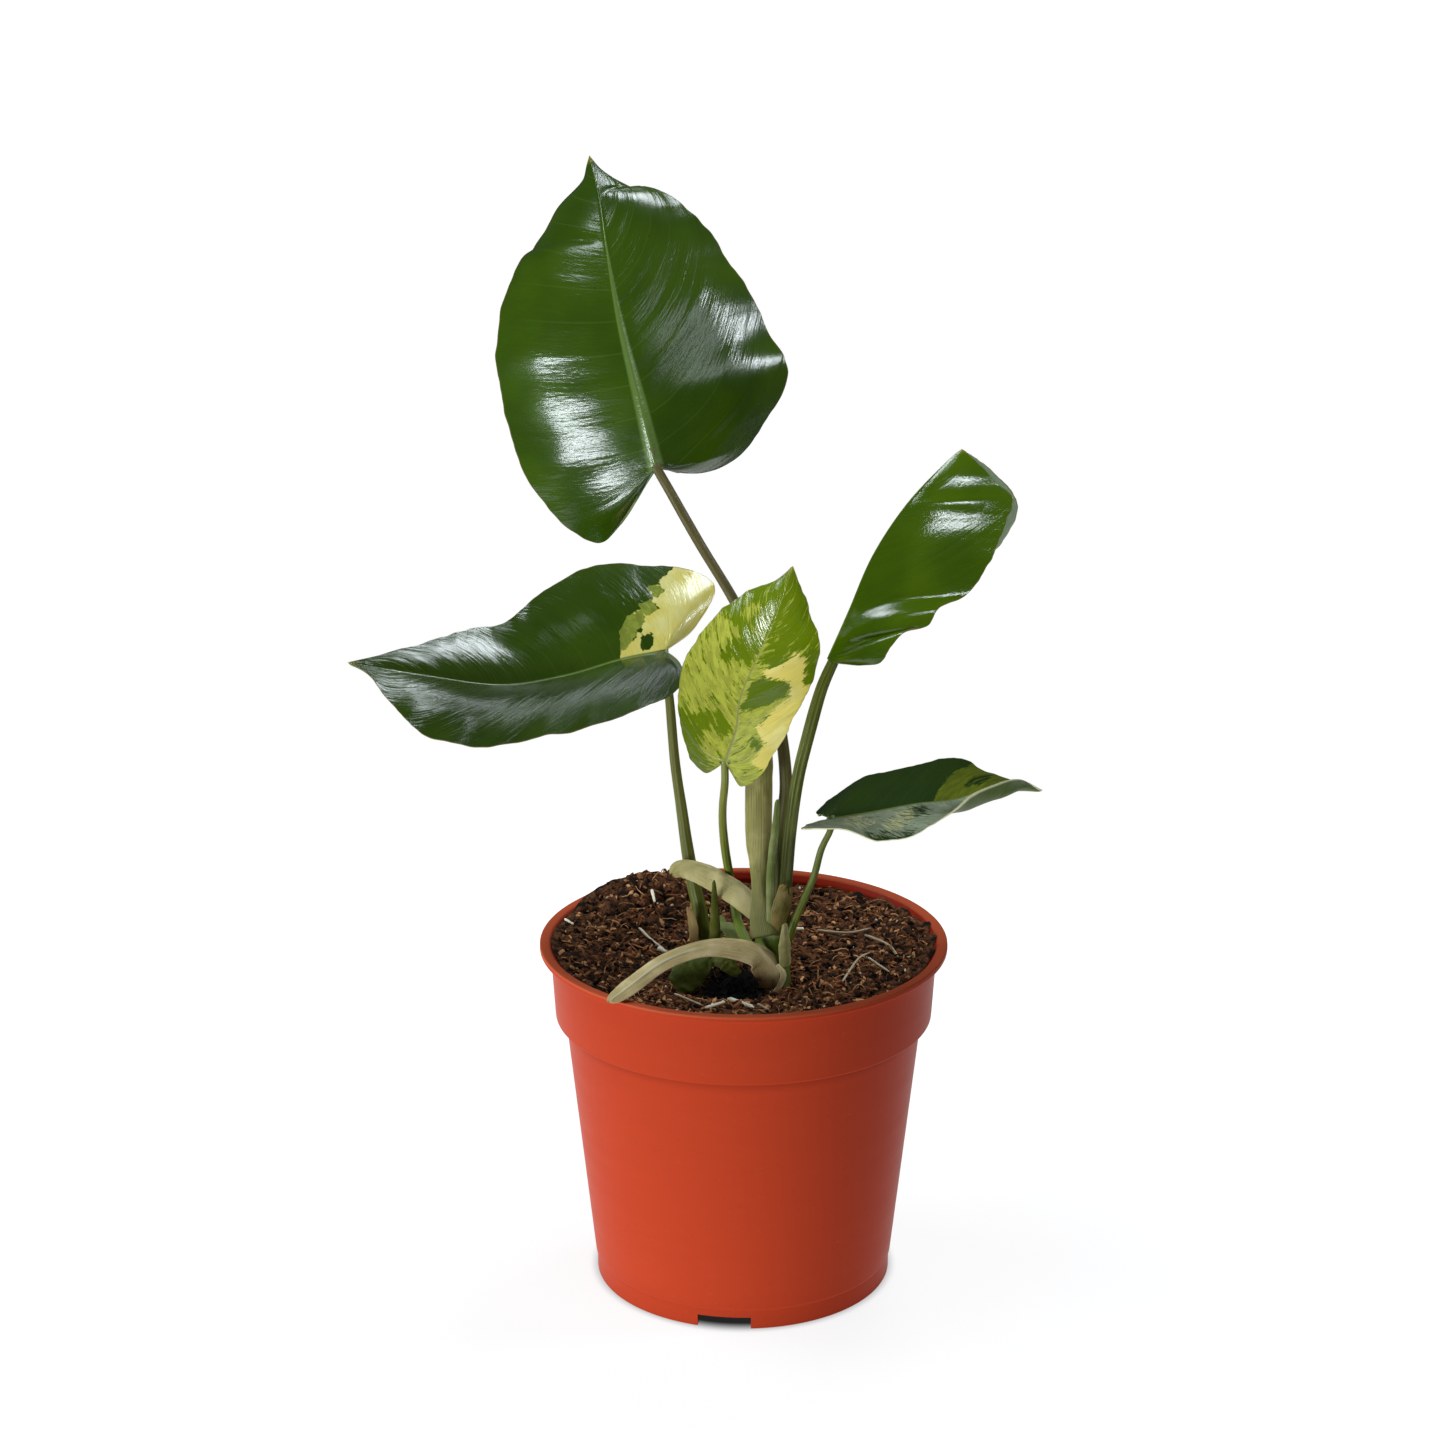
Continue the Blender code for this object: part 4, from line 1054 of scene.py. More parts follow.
def make_sheath(name, nodes, spine, widths, outward, wrap, material, slot="sheath",
                fray=0.6, ridge=0.07, keel=0.0):
    """Make a papery sheath: a strip that curls round its spine, away from outward."""
    line = smooth(spine, SHEATH_ROWS + 1)
    along = np.linspace(0, 1, SHEATH_ROWS + 1)
    spread = np.interp(along, np.linspace(0, 1, len(widths)), widths)
    spread = np.convolve(np.pad(spread, 5, "edge"), np.ones(11) / 11, "valid")
    spread = spread * (1 + 0.05 * waver(along * 14, len(name)))
    spread = spread * (0.15 + 0.85 * round_off(1 - along, 0.06))
    ahead = unit(np.gradient(line, axis=0))
    sideways = unit(np.cross(ahead, outward))
    out = np.cross(sideways, ahead)
    half_wrap = math.radians(wrap) / 2
    radius = spread / (2 * math.sin(half_wrap))
    across = np.linspace(-1, 1, SHEATH_COLUMNS + 1)
    angle = half_wrap * across
    grid = line[:, None] + sideways[:, None] * (radius[:, None] * np.sin(angle))[..., None]
    grid -= out[:, None] * (radius[:, None] * (1 - np.cos(angle)))[..., None]
    tear = fray * waver(across * 7, len(name) + 0.5)
    grid += ahead[:, None] * (tear * step_up(along, 0.85, 1.0)[:, None])[..., None]
    normals = unit(facing(grid))
    calm = step_up(1 - np.abs(across), 0, 0.2)[None]
    ridges = ridge * np.cos(across * SHEATH_RIDGES * math.pi)[None] * calm
    folds = keel * np.exp(-(((across + 0.1) / 0.12) ** 2))[None] * step_up(along, 0.4, 0.6)[:, None]
    crumple = SHEATH_CRUMPLE * grain(joined(across * 1.5, along[:, None] * 8, 0.0), 1.0, len(name))
    crumple *= step_up(spread, 1, 6)[:, None]
    ends = round_off(np.minimum(along, 1 - along) * SHEATH_ROWS, 3)[:, None]
    body = ends * round_off(1 - np.abs(across), 0.12)[None]
    grid += normals * ((ridges + folds + crumple) * ends + SHEATH_THICKNESS / 2 * body)[..., None]
    strip = joined(across, along[:, None], travel(line)[:, None])
    stored = leaf_values(spread, strip) if slot.startswith("leaf") else {"strip": strip}
    shape = Shape()
    add_sheet(shape, grid, normals, SHEATH_THICKNESS * body, False, **stored)
    shape.build(name, [material] * 2, nodes, weld=True)


def leaf_values(spread, strip):
    """Return a small leaf's stored values, for the material that the blades have."""
    across, along, travelled = np.moveaxis(strip, -1, 0)
    outward = np.abs(across) * spread[:, None]
    veins = joined(travelled + outward, outward, np.sign(across))
    return {"veins": veins, "rib": joined(outward, along, np.abs(across)),
            "patches": np.full(strip.shape, UNPAINTED)}


def add_sheet(shape, grid, normals, thickness, flip, under=0, **stored):
    """Add a closed thin sheet: its face on the grid, its back lower by the thickness."""
    rows, columns = thickness.shape
    for back, depth in enumerate((0 * thickness, thickness)):
        faces = grid_faces(rows, columns, flip=flip != bool(back))
        shape.add(grid - normals * depth[..., None], faces, slot=back * under, **stored)


def make_sheaths():
    """Make the papery sheaths, the scale and the small low leaf round the shoots."""
    upright = sheath_look("sheath_upright_skin", (0.37, 0.335, 0.09), (0.49, 0.43, 0.155), 20,
                          base=(0.13, 0.13, 0.035), stained=(0.46, 0.12))
    arched = sheath_look("sheath_arched_skin", (0.51, 0.43, 0.155), (0.68, 0.57, 0.27), 18)
    lower = sheath_look("sheath_lower_skin", (0.55, 0.42, 0.18), (0.68, 0.54, 0.29), 16,
                        base=(0.13, 0.065, 0.02), keel=0.8)
    edge = sheath_look("sheath_edge_skin", (0.40, 0.36, 0.13), (0.52, 0.46, 0.20), 10)
    green = sheath_look("sheath_green_skin", (0.12, 0.14, 0.015), (0.19, 0.18, 0.04), 8)
    fresh = sheath_look("sheath_fresh_skin", (0.20, 0.25, 0.05), (0.30, 0.32, 0.12), 8)
    olive = sheath_look("sheath_olive_skin", (0.16, 0.13, 0.022), (0.25, 0.17, 0.05), 10)
    tan = sheath_look("scale_skin", (0.40, 0.27, 0.10), (0.26, 0.15, 0.05), 8)
    torn = sheath_look("torn_skin", (0.74, 0.60, 0.30), (0.88, 0.76, 0.44), 6)
    make_sheath("sheath_upright_curl", ["sheath_upright"], [
        (6.5, -25.0, 115.5), (6.1, -24.2, 117.6), (5.5, -22.8, 121), (5.1, -21.4, 128), (4.6, -19.5, 140),
        (4.6, -18, 157), (5.2, -16, 176),
    ], (9.6, 7.6, 5.8, 5.4, 5.8, 7.2, 8.0, 8.2, 8.2, 8.0, 7.6, 6.0, 2.0), (0.2, -1, 0), 110, upright)
    make_sheath("sheath_pointed_curl", ["sheath_pointed"], [
        (7.8, -23, 115), (7.7, -23.6, 133), (8.8, -23, 147), (9.4, -22, 156),
    ], (2.4, 2.6, 2.6, 1.2), (0.3, -1, 0), 90, fresh)
    make_sheath("sheath_cup_curl", ["sheath_cup"], [
        (9.8, -22.6, 114.8), (10.6, -23.6, 121), (12.4, -23.4, 129.2),
    ], (2.8, 4.8, 5.6, 5.6, 4.6), (0.4, -1, 0), 110, olive, fray=2.6)
    make_sheath("sheath_edge_curl", ["sheath_edge"], [
        (12.2, -23.6, 105.6), (12.0, -24.4, 111.5), (11.7, -24.6, 119.2),
    ], (3.8, 4.0, 1.4), (0.5, -0.8, 0), 90, edge)
    make_sheath("sheath_arched_upper_curl", ["sheath_arched_upper"], [
        (5, -13.6, 117.4), (1.2, -12.8, 121.5), (-2.6, -11, 124), (-8.4, -7, 126.4),
        (-14.2, -2.5, 127.4), (-18.6, 0, 127.2), (-21, 1, 125),
    ], (5.6, 7.4, 7.4, 7.0, 6.4, 4.4), (0, -0.8, 0.6), 90, arched, fray=1.2)
    make_sheath("sheath_arched_lower_curl", ["sheath_arched_lower"], [
        (7.0, -25.4, 99.4), (6.8, -26, 104.5), (4.9, -26.5, 109.8), (0.6, -28, 112.9), (-8, -31.5, 115.2),
        (-15.4, -35, 115.2), (-24, -39.5, 113), (-30.6, -44.5, 109.8), (-36.5, -49, 106.8),
        (-38, -50.5, 105.9),
    ], (4.6, 9.2, 9.0, 7.2, 6.0, 5.4, 5.6, 5.8, 3.6), (0, -0.5, 0.85), 60, lower, keel=0.5)
    make_sheath("sheath_spike_curl", ["sheath_spike"], [
        (-9.8, 0.9, 101), (-8.6, -3.4, 106), (-8.4, -9, 114), (-8.7, -13.6, 128.4),
    ], (2.8, 3.2, 2.4, 0.7), (0, -1, 0), 80, green)
    make_sheath("sheath_small_curl", ["sheath_small"], [
        (-7.3, 3.6, 101), (-5.6, 0, 109.6), (-3.2, -3.2, 109.2), (-1.4, -4.6, 105),
    ], (3.0, 6.0, 6.4, 4.0), (0.5, -0.5, 0.7), 90, fresh)
    make_sheath("scale_dry_curl", ["scale_dry"], [
        (-14.6, 1.7, 102), (-15.2, 1.2, 109), (-16.1, 1, 114.3),
    ], (3.4, 3.6, 2.2), (-0.6, -0.8, 0), 80, tan, "scale", fray=1.5)
    make_sheath("sheath_torn_curl", [], [
        (9.4, -27.9, 108.0), (11.2, -28.2, 105.2), (10.4, -28.4, 102.0), (8.6, -28.2, 99.8),
    ], (0.9, 1.8, 1.7, 0.8), (0.3, -1, 0.2), 60, torn, fray=1.0)
    small = leaf_look("small_leaf_green", (0.065, 0.095, 0.002), (0.10, 0.14, 0.003), rib_width=0.1,
                      gloss=0.6, lined=0.0)
    make_sheath("sheath_low_curl", [], [
        (-9.6, -21.4, 106.4), (-5.6, -21.8, 106.2), (-1.6, -22.4, 102.6),
    ], (2.4, 5.0, 3.0), (0.2, -1, 0.5), 60, green, ridge=0.0)
    make_sheath("leaf_small_blade", ["leaf_small"], [
        (-9.3, -22, 106.8), (-12.7, -23, 105.1), (-16.4, -24, 102.8), (-20.3, -25.2, 100.0),
    ], (2.0, 7.4, 9.8, 9.2, 5.0), (0.3, -0.9, 0.3), 40, small, "leaf_green", ridge=0.0, fray=0.0)


# Each blade in its own frame: X across to the right, Y along the rib from the stalk to the
# tip, Z up from the upper face. The margins run from the stalk round the lobe to the tip.
LEAVES = {
    "leaf_top": {
        "place": (-25.0, 5.0, 246.5), "turn": (61, -10, 6),
        "arch": 0.10, "rows": 24, "fan": 7, "sweep": (1.5, 6.5),
        "rough": 1.0, "ridge": 0.2,
        "rib": [
            (0, 0, 0), (-1, 18.5, 5.5), (-2, 41, 9), (-1.5, 63, 9), (-0.5, 79, 5.5), (-0.5, 95, -1),
        ],
        "left": [
            (-1.5, 0, -1.5), (-8, -6.5, -9), (-18.5, -13.5, -21), (-27, -7.5, -23), (-36, 8, -20.5),
            (-39, 25, -15.5), (-37.5, 47, -9), (-29, 66, -6), (-21, 73.5, -6.5), (-13.5, 81.5, -5.5),
            (-8, 85.8, -4.8), (-3.8, 89, -3.8), (-2, 92.4, -2.4),
        ],
        "right": [
            (2, 0, -2), (10, 1.5, -19.5), (20, 3, -27), (30, 8.5, -24), (43, 22, -15), (40, 36.5, -10),
            (35, 53, -6.5), (27.5, 69, -3.5), (19.5, 80, -3), (14, 83.6, -4.2), (10, 83.9, -4.6),
            (6, 87.2, -4.2), (1.9, 91.2, -2.6),
        ],
        "crease": ((-23.5, 73.0), (-1.3, 66.3)),
    },
    "leaf_left": {
        "place": (-23.0, 8.0, 191.0), "turn": (1, -24, 101),
        "arch": 0.06, "rows": 24, "fan": 7, "sweep": (3.5, 3.5),
        "rough": 0.35, "ridge": 0.06,
        "rib": [
            (0, 0, 0), (0.5, 12.5, -3), (-2, 29, -6), (-3, 48, -7.5), (-2, 69.5, -3.5), (0.5, 91.5, 0.5),
        ],
        "left": [
            (-3, -0.5, 1.5), (-12, -2.5, 4.5), (-19.5, -2, 4.5), (-26.5, 7.5, 4), (-32.5, 24, 2.5),
            (-34.5, 40, 0.5), (-34.5, 56.5, -2.5), (-28, 71.5, -3.5), (-15, 81, -1.5), (-4.5, 86, 0),
        ],
        "right": [
            (2.5, -2, -1), (9, -10, 0), (20.5, -18, 4.5), (28, -15, 5.5), (33.5, -2.5, 4.5),
            (36.5, 11.5, 3.5), (34.5, 24, 0.5), (29.5, 33.5, -2.5), (23, 43, -5.5), (16, 59, -3.5),
            (5.5, 78, -0.5),
        ],
    },
    "leaf_centre": {
        "place": (-5.5, -27.0, 169.0), "turn": (81, 20, 4),
        "arch": 0.08, "rows": 20, "fan": 5, "sweep": (3, 3),
        "rough": 0.6, "ridge": 0.06,
        "rib": [
            (0, 0, 0), (-0.5, 10, 2), (-2.5, 19, 3.5), (-2, 30.5, 4.5), (-0.5, 43, 3), (0, 58.5, -0.5),
        ],
        "left": [
            (-1.5, -1, -1.5), (-3.5, -5, -3), (-9, -2.5, -5), (-16, 8, -5.5), (-19.5, 22, -5.5),
            (-16.5, 35.5, -5), (-9.5, 47, -4.5), (-3, 53, -2.5),
        ],
        "right": [
            (1.5, -0.5, -1), (7, -5.5, -2.5), (12, 0, -4.5), (15, 13.5, -5.5), (17, 28, -6),
            (16, 38.5, -6), (11, 46, -5), (4, 54, -3),
        ],
    },
    "leaf_right": {
        "place": (24.0, -14.0, 195.0), "turn": (59, 2, -81), "roll": -3.0, "ripple": 0.0,
        "arch": 0.08, "rise": 0.8, "rows": 24, "fan": 7, "sweep": (4, 7),
        "rough": 0.1, "ridge": 0.06,
        "rib": [
            (0, 0, 0), (0, 14.5, 2), (-0.5, 32, 4.5), (-0.5, 49.5, 4), (-1, 65.5, 0.5), (-0.5, 70.5, -1),
        ],
        "left": [
            (-2, 0, -1.5), (-11.5, 4, -10), (-16, 11, -17.5), (-19.5, 25.5, -23.5), (-19.5, 41, -29),
            (-17, 53, -30.5), (-13, 62.5, -27.5), (-9, 67, -19), (-3.5, 69.5, -7.5),
        ],
        "right": [
            (2, 0, -1), (7, 4.5, -5.5), (12, 9, -9.5), (15.5, 19, -9.5), (17.5, 25, -14), (18, 31, -14),
            (17, 38.5, -19), (16, 52.5, -19.5), (14, 60, -18), (12, 67, -17), (7, 68.5, -9.5),
            (1, 70.5, -2.5),
        ],
    },
    "leaf_low": {
        "place": (25.0, -20.0, 149.5), "turn": (6, 8, -82), "gutter": 4.0,
        "arch": 0.06, "rows": 20, "fan": 5, "sweep": (3, 3),
        "rough": 0.3, "ridge": 0.06,
        "rib": [
            (0, 0, 0), (0.5, 11, 0.5), (1, 24, 1.5), (0.5, 36, 1), (-0.5, 47.5, 2.5), (-0.5, 61.5, -0.5),
        ],
        "left": [
            (-2, -1, 0), (-6.5, -3.5, -0.5), (-12, 3, 1), (-15.5, 11.5, 3.5), (-16, 23, 4.5),
            (-16.5, 39, 5.5), (-10, 47, 3), (-4.5, 54.5, 1.5),
        ],
        "right": [
            (2, -1.5, 0.5), (7.5, -10, 2.5), (11, 1, 2.5), (15.5, 11, -0.5), (15, 21, -0.5),
            (11, 32.5, 3), (6.5, 41.5, 6), (1, 53.5, 5),
        ],
    },
}


def plain_patches(x, y, sign):
    """A plain green blade."""
    return np.full((*x.shape, 3), UNPAINTED)


def left_patches(x, y, sign):
    """The left leaf: a cream lobe on its far side, with lime blots along its edge and a green island."""
    sector = inside(x, y, (
        (33, -9), (23.4, 0.5), (17.9, 0.8), (15, 6.2), (10.3, 9.8), (4.8, 11.3), (0.5, 12.4),
        (0.2, -0.5), (3, -14), (12, -26), (34, -26),
    ))
    blots = np.maximum.reduce([
        inside(x, y, ((24.5, 1.4), (24.4, -2.7), (21, -3), (19, 0.1))),
        inside(x, y, ((17.4, 5), (18.3, 1), (14, -0.3), (12.8, 3.4))),
        inside(x, y, ((9, 11.4), (14, 8.6), (15.4, 4.3), (11, 4.2), (7.2, 7), (4.6, 9.5), (2.8, 11.8))),
    ])
    island = np.maximum(
        inside(x, y, ((6.4, 6.1), (6.9, 2.9), (4.2, 2.3), (1.8, 3.4), (1.6, 5.9), (3.5, 6.4))),
        inside(x, y, ((10.2, 5.6), (8.2, 4.6), (7.4, 6.2), (8.8, 7.2))) - 0.3)
    shown = joined(np.minimum(sector, -blots), blots + 0.3, island)
    return np.where(sign > 0, shown, UNPAINTED)


def centre_patches(x, y, sign):
    """The middle leaf: lime mottling, a cream band down its right margin, green patches."""
    top = inside(x, y, (
        (-12, 46), (0, 60), (0.5, 40), (-1.5, 31), (-4.3, 28.5), (-10.9, 27.7), (-11.7, 30), (-9, 35.6),
        (-12, 38.7), (-18, 42),
    ))
    light_spot = inside(x, y, ((-8.2, 46.3), (-5.1, 45.5), (-5.1, 43.8), (-7.9, 40.2), (-8.7, 41)))
    low = inside(x, y, (
        (-20, 13), (-13.4, 9.9), (-9, 13.2), (-3.9, 13.8), (-1.8, 10.3), (-2.4, 7.2), (-7, 7.8),
        (-8.2, 4.9), (-5.5, -0.2), (-3, -1.7), (-3, -8), (-14, -8), (-22, 4),
    ))
    left = 1.3 * np.clip(-np.maximum(np.minimum(top, -light_spot), low), -1.6, 1.2)
    tip = inside(x, y, (
        (-2, 62), (8, 52), (19, 42), (15.2, 39), (10.7, 36.3), (8.2, 34.9), (4.3, 30.7), (-0.5, 27.2),
    ))
    margin = inside(x, y, ((10.7, 36.3), (15.2, 39.9), (20, 34), (17.5, 26), (14.4, 27), (13.3, 32.3)))
    right = 1.3 * np.clip(-np.maximum(tip, margin), -1.6, 1.2)
    band = inside(x, y, (
        (1.2, 27.5), (8.7, 34.8), (11.8, 34.8), (13.3, 32.3), (14.4, 27), (20, 28), (19, 8), (14, 0),
        (7.7, 1.7), (8.4, 5.1), (9.1, 8.2), (4.8, 11.8), (7.6, 17.1), (11.9, 22.8), (9.7, 27), (3.1, 26.2),
    ))
    island = inside(x, y, (
        (-1, 24), (1.5, 26.7), (4.1, 26), (8.6, 27.2), (10.7, 25.8), (10.5, 22.5), (5, 18.8), (-1, 15),
    ))
    patch = inside(x, y, ((4, 10.1), (7.1, 9.6), (9.5, 7.3), (8.4, 5.1), (4.4, 6.5))) - 0.4
    near = joined(band, right, np.maximum(island, patch))
    return np.where(sign < 0, joined(UNPAINTED, left, UNPAINTED), near)


def low_patches(x, y, sign):
    """The low leaf: a yellow-green end on its far half, and on its near half a silvery green painted sheen
    with pale specks.
    """
    end = inside(x, y, (
        (0.7, 29.1), (-2.8, 31.6), (-6.6, 35.2), (-9.5, 38.7), (-12.5, 43.1), (-20, 50), (-8, 68), (3, 66),
    ))
    patch = inside(x, y, ((-3.6, 39.4), (-7, 43.4), (-7.6, 47.6), (-5, 47.2), (-3, 43.6), (-2.8, 40.2)))
    far = joined(UNPAINTED, 6 * end, np.clip(patch, -2.5, 0.5))
    cream = np.maximum.reduce([
        inside(x, y, ((0.2, 4), (2, 9), (7, 12), (11, 6), (6, 2))),
        inside(x, y, ((8, 12), (4, 18), (2.6, 23.5), (9.5, 22), (13, 15))),
    ])
    green = inside(x, y, ((2.5, 23), (4, 27.5), (8.5, 26), (7.5, 22)))
    strip = inside(x, y, ((12.6, 8), (13.4, 15), (13.6, 21), (18, 22), (18, 7)))
    sheen_field = np.clip(-np.maximum(green, strip), -2.5, 2.5)
    near = joined(np.clip(cream - 0.5, -1.5, -0.2), sheen_field, UNPAINTED)
    return np.where(sign < 0, far, near)


def along_rib(leaf, row):
    """Return how far along the rib a row starts: 0 at the stalk and 1 at the tip."""
    return np.clip((row - leaf["fan"]) / (leaf["rows"] - leaf["fan"]), 0, 1)


def half_surface(leaf, side, sign):
    """Return half a blade as a grid of points, a line for each side vein, from rib to margin."""
    rows, fan = leaf["rows"] * FINENESS, leaf["fan"] * FINENESS
    edge = smooth(leaf[side] + [leaf["rib"][-1]], rows + 1)
    spine = smooth(leaf["rib"], rows - fan + 1)
    roots = spine[np.maximum(np.arange(rows + 1) - fan, 0)]
    upward = sign * np.cross(edge - roots, unit(np.gradient(edge, axis=0)))
    row = np.arange(rows + 1) / FINENESS
    spots = joined(row, 0.0, 9.0 * sign)
    scallops = 0.7 * grain(spots, 1.5, len(leaf["rib"])) + 0.35 * grain(spots, 0.5, 4.0)
    calm = step_up(np.linalg.norm(edge - roots, axis=1), 2, 10)
    edge = edge + unit(edge - roots) * (scallops * calm)[:, None]
    veins = edge - roots
    uneven = 2.4 * grain(joined(row / 1.9, 0.0, 5 * sign), 1.0, len(leaf["rib"]))
    wave = RIPPLE * leaf.get("ripple", 1.0) * (0.5 * np.sin(RIPPLE_STEP * row) + uneven)
    lift = leaf["arch"] * np.sin(np.pi * SHARES)[None] + wave[:, None] * SHARES[None] ** 2
    points = roots[:, None] + veins[:, None] * SHARES[None, :, None] + upward[:, None] * lift[..., None]
    if "gutter" in leaf and sign > 0:
        share = along_rib(leaf, row)
        sunk = leaf["gutter"] * step_up(share, 0.4, 0.6) * step_up(1 - share, 0, 0.25)
        points -= (unit(upward) * sunk[:, None])[:, None] * np.sin(np.pi * SHARES)[None, :, None]
    return points, row, np.linalg.norm(veins, axis=1)


def crease_depth(x, y, ends):
    """Return how deep a folded line across the blade is pressed in."""
    start, end = np.array(ends[0]), np.array(ends[1])
    ahead = end - start
    offset = joined(x, y) - start
    share = np.clip((offset * ahead).sum(-1) / (ahead**2).sum(), 0, 1)
    gap = np.linalg.norm(offset - share[..., None] * ahead, axis=-1)
    return CREASE_DEPTH * np.exp(-((gap / CREASE_WIDTH) ** 2)) * step_up(1 - share, 0, 0.3)


def make_blade(name, upper, under, patches=plain_patches):
    """Make a blade with a thin rounded margin, veins pressed in and a raised rib below."""
    leaf = LEAVES[name]
    turn = leaf_turn(leaf)
    shape = Shape()
    for side, sign in (("left", -1), ("right", 1)):
        grid, row, lengths = half_surface(leaf, side, sign)
        row, share = np.broadcast_arrays(row[:, None], SHARES[None])
        x, y = grid[..., 0], grid[..., 1]
        outward = share * lengths[:, None]
        to_tip = leaf["rows"] - row
        along = along_rib(leaf, row)
        vein = VEIN_SPACING * (row - leaf["sweep"][side == "right"] * share**1.3) / ROWS_PER_VEIN
        normals = unit(sign * facing(grid))
        known = (step_up(share, 0.0, 0.15) * step_up(to_tip, 0, 2))[..., None]
        normals = unit(normals * known + np.array([0, 0, 1.0]) * (1 - known))
        grooves = GROOVE_DEPTH * np.cos(2 * np.pi * vein / VEIN_SPACING) * step_up(outward, 1, 6)
        swells = SWELL_HEIGHT * grain(joined(vein, outward * 0.45, 3 * sign), 9.0, 1.5)
        wrinkles = WRINKLE_HEIGHT * grain(joined(vein, outward * 0.12, 3 * sign), 2.4, 1.5)
        relief = grooves + (swells + wrinkles) * step_up(outward, 0, 4)
        relief = leaf["rough"] * relief * step_up(1 - share, 0, 0.1) * step_up(to_tip, 0, 3)
        relief = relief + leaf["ridge"] * step_up(-outward, -(1.4 - along), 0) * step_up(to_tip, 0, 3)
        if "crease" in leaf and sign < 0:
            relief = relief - crease_depth(x, y, leaf["crease"])
        keel = RIB_DEPTH * (1 - 0.8 * along) * step_up(-outward, -RIB_HALF_WIDTH, 0)
        closing = round_off(1 - share, 0.02) * round_off(row, 0.5) * round_off(to_tip, 0.5)
        face = grid + normals * (leaf.get("rise", 0.0) + relief)[..., None]
        add_sheet(
            shape, face @ turn.T + leaf["place"], normals @ turn.T, (BLADE + keel) * closing, sign < 0, 1,
            veins=joined(vein, outward, HALF_MARK * sign),
            rib=joined(outward, along, share), patches=patches(x, y, sign),
        )
    shape.build(name + "_blade", (upper, under), [name], weld=True)


def make_leaves():
    """Make the five blades, each with its own greens and its own variegation."""
    under = under_look("leaf_underside", (0.13, 0.23, 0.06))
    make_blade("leaf_top", leaf_look(
        "leaf_top_green", (0.026, 0.060, 0.001), (0.052, 0.108, 0.002)), under)
    make_blade("leaf_left", leaf_look(
        "leaf_left_green", (0.026, 0.058, 0.002), (0.048, 0.092, 0.004), (0.16, 0.25, 0.045), 0.7, 1.15,
        gloss=0.15, lined=0.07),
        under, left_patches)
    make_blade("leaf_centre", leaf_look(
        "leaf_centre_lime", (0.10, 0.165, 0.002), (0.155, 0.23, 0.004), (0.33, 0.34, 0.12), 0.45, 1.05,
        mottled=22.0, lime=(0.50, 0.54, 0.075), lined=0.05, gloss=0.14, grit=0.12),
        under, centre_patches)
    make_blade("leaf_right", leaf_look(
        "leaf_right_green", (0.050, 0.108, 0.0005), (0.098, 0.178, 0.001), (0.17, 0.25, 0.02), 0.6, 1.0,
        gloss=0.12, grit=0.45, lined=0.04, bumpy=0.15),
        # Its underside is painted paler, as light that shines through it from behind.
        under_look("leaf_right_underside_painted_backlight", (0.33, 0.46, 0.26)))
    # The low blade's near half is given a silvery green painted sheen.
    make_blade("leaf_low", leaf_look(
        "leaf_low_green", (0.016, 0.042, 0.003), (0.03, 0.068, 0.004), (0.26, 0.31, 0.08), 0.6, 1.1,
        mottled=26.0, flecks=2.4, ragged=1.2, creams=((0.84, 0.78, 0.34), (0.95, 0.92, 0.50)),
        lime=(0.19, 0.23, 0.012), near_lime=(0.50, 0.57, 0.39), margin=(0.62, 0.60, 0.34),
        lined=0.05, gloss=0.3),
        under_look("leaf_low_underside", (0.085, 0.125, 0.025), (0.75, 0.72, 0.42), 0.93),
        low_patches)


def make_camera():
    """Put the camera where the photograph was taken from."""
    data = bpy.data.cameras.new("camera")
    data.sensor_width = SENSOR_WIDTH
    data.lens = FOCAL_PIXELS * SENSOR_WIDTH / PHOTO_WIDTH
    data.clip_end = CLIP_END
    camera = put("camera", data)
    camera.location = placed(CAMERA_PLACE)
    camera.rotation_euler = (math.radians(90 - CAMERA_PITCH), 0, 0)
    bpy.context.scene.camera = camera


def add_light(name, azimuth, elevation, distance, size, radiance, colour):
    """Add a soft box; its azimuth is 0 on the camera's side and grows to the right."""
    turn, rise = math.radians(azimuth), math.radians(elevation)
    toward = Vector((math.sin(turn) * math.cos(rise), -math.cos(turn) * math.cos(rise), math.sin(rise)))
    data = bpy.data.lights.new(name, "AREA")
    data.shape = "RECTANGLE"
    data.size, data.size_y = size
    data.energy = radiance * math.pi * size[0] * size[1]
    data.color = colour
    lamp = put(name, data)
    lamp.location = Vector(placed((0, 0, LIGHTS_AIM_HEIGHT))) + toward * distance
    lamp.rotation_euler = (-toward).to_track_quat("-Z", "Y").to_euler()
    return lamp


def aim(lamp, pieces, state):
    """With INCLUDE a lamp lights the pieces named and no others, with EXCLUDE all others."""
    chosen = bpy.data.collections.new(lamp.name + "_pieces")
    for piece in pieces:
        chosen.objects.link(bpy.data.objects[piece])
    for entry in chosen.collection_objects:
        entry.light_linking.link_state = state
    lamp.light_linking.receiver_collection = chosen


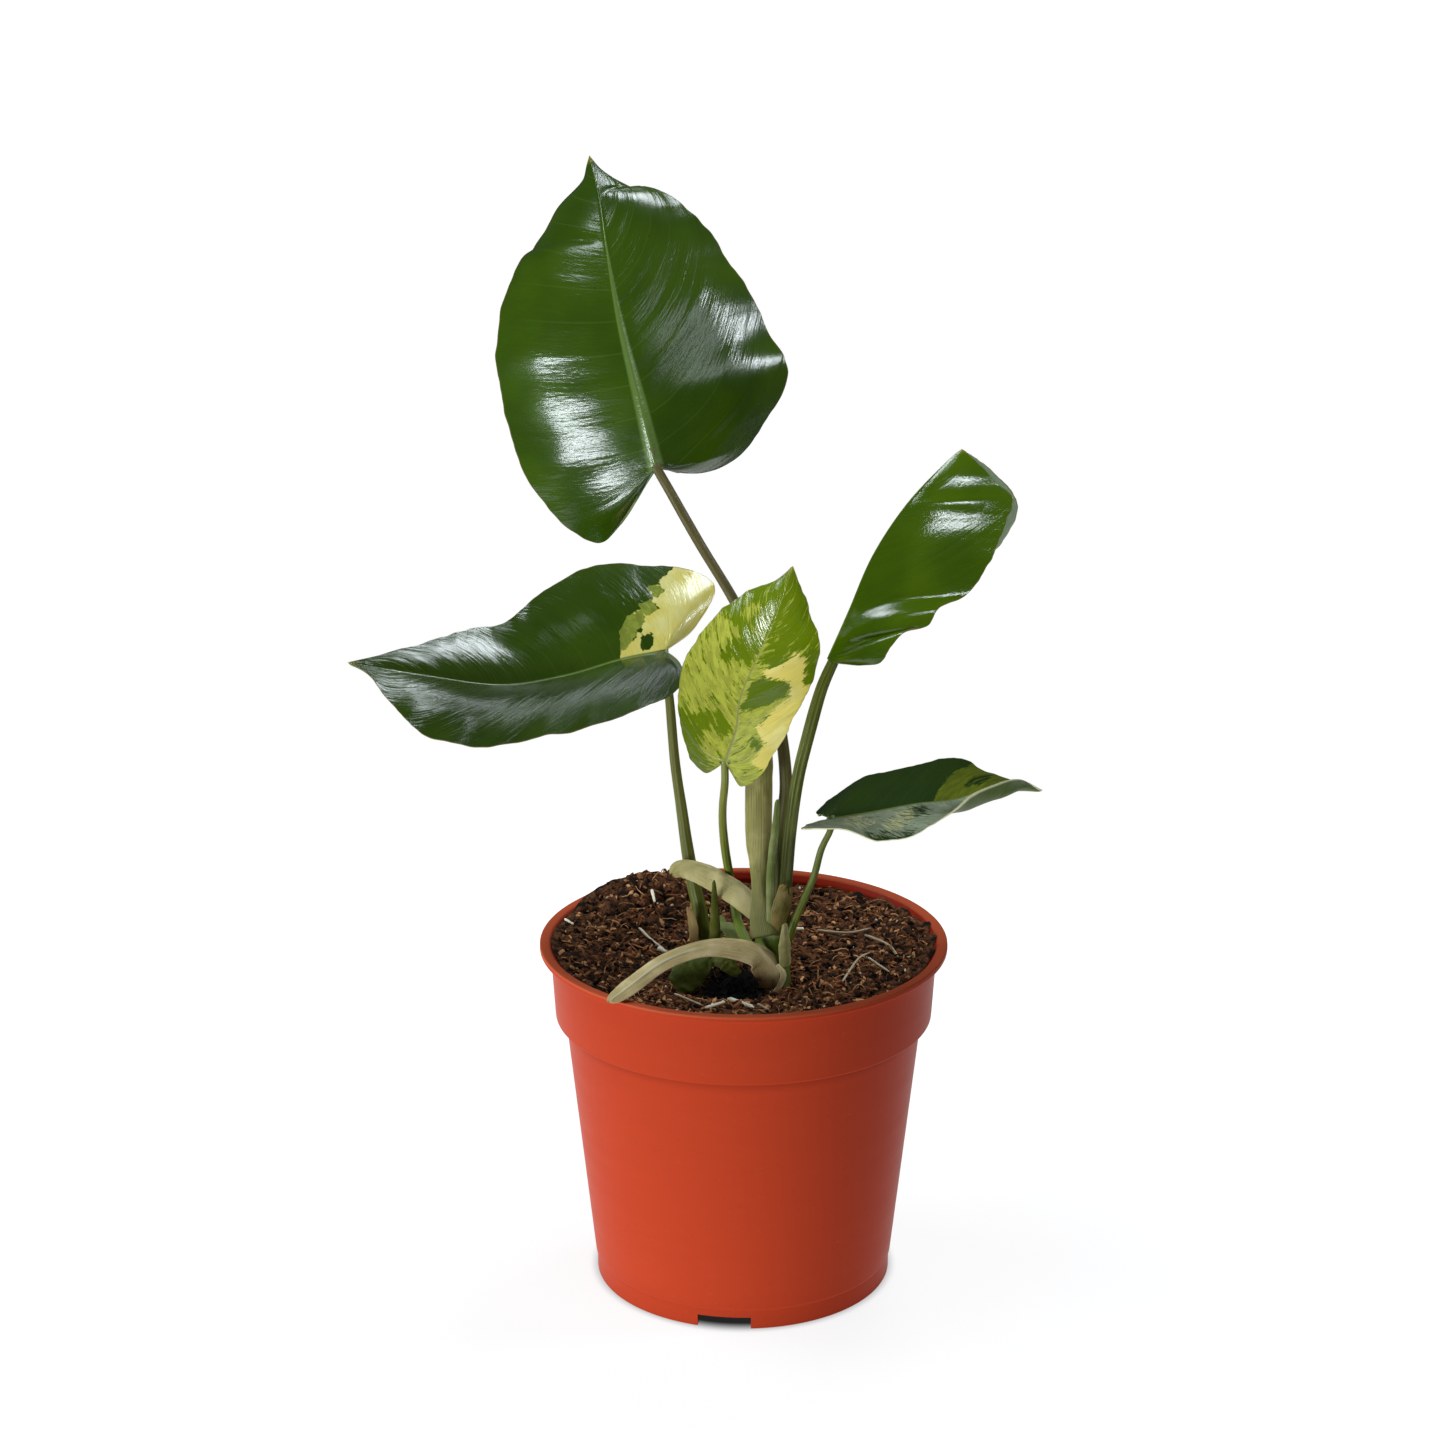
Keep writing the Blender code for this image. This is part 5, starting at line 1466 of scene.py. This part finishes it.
# Soft boxes: name, azimuth, elevation, distance and size in metres, radiance, colour, and
# which pieces it lights alone or leaves out
LIGHTS = (
    ("left", -50, -5, 1.25, (0.70, 0.22), 29.0, COOL, "EXCLUDE", ("leaf_right", "leaf_centre")),
    ("high", -112, 40, 1.1, (0.50, 0.24), 13.0, COOL, "EXCLUDE", ("leaf_top",)),
    ("top", -70, 66, 1.1, (0.40, 0.35), 9.0, COOL, "EXCLUDE",
     ("leaf_left", "leaf_centre", "leaf_right", "leaf_low")),
    ("right", 90, 27, 1.1, (0.22, 0.22), 28.0, COOL, "EXCLUDE", ("pot",)),
    ("side", 51, 36, 1.15, (0.80, 0.18), 4.0, COOL, "EXCLUDE", ("pot",)),
    ("back", 153, 61, 1.1, (0.30, 0.30), 17.0, COOL, "EXCLUDE", ("leaf_low",)),
    ("far", -170, 46, 1.1, (0.35, 0.14), 3.6, COOL, "EXCLUDE", ("leaf_low",)),
    ("front", -36, 36, 1.15, (0.60, 0.14), 25.0, COOL, "INCLUDE", ("leaf_right",)),
    ("middle", 5, 45, 1.1, (0.30, 0.30), 38.0, WHITE, "INCLUDE", ("leaf_centre",)),
)


def make_lights():
    """Set the soft boxes, each for its own pieces."""
    for name, *setting, state, parts in LIGHTS:
        pieces = ["pot_shell" if part == "pot" else part + "_blade" for part in parts]
        aim(add_light("window_" + name, *setting), pieces, state)


def make_surroundings():
    """Set surroundings that light the plant dimly and that the camera sees as white."""
    world = bpy.data.worlds.new("studio")
    world.use_nodes = True
    tree = world.node_tree
    background = tree.nodes["Background"]
    seen = tree.nodes.new("ShaderNodeLightPath")
    blend = tree.nodes.new("ShaderNodeMix")
    blend.data_type = "RGBA"
    blend.inputs[6].default_value = SURROUNDINGS
    blend.inputs[7].default_value = (*WHITE, 1.0)
    tree.links.new(seen.outputs["Is Camera Ray"], blend.inputs[0])
    tree.links.new(blend.outputs[2], background.inputs["Color"])
    bpy.context.scene.world = world
    bpy.context.scene.view_settings.view_transform = "Standard"


def make_floor():
    """Make the round white floor below the pot."""
    shape = bmesh.new()
    spot = Matrix.Translation(Vector(AXIS))
    bmesh.ops.create_circle(shape, cap_ends=True, segments=FLOOR_SEGMENTS, radius=FLOOR_RADIUS, matrix=spot)
    floor = put_shape("floor", shape)
    floor.data.materials.append(floor_look())


make_camera()
make_pot()
make_ground()
make_shoots()
make_stalks()
make_sheaths()
make_leaves()
make_lights()
make_surroundings()
make_floor()
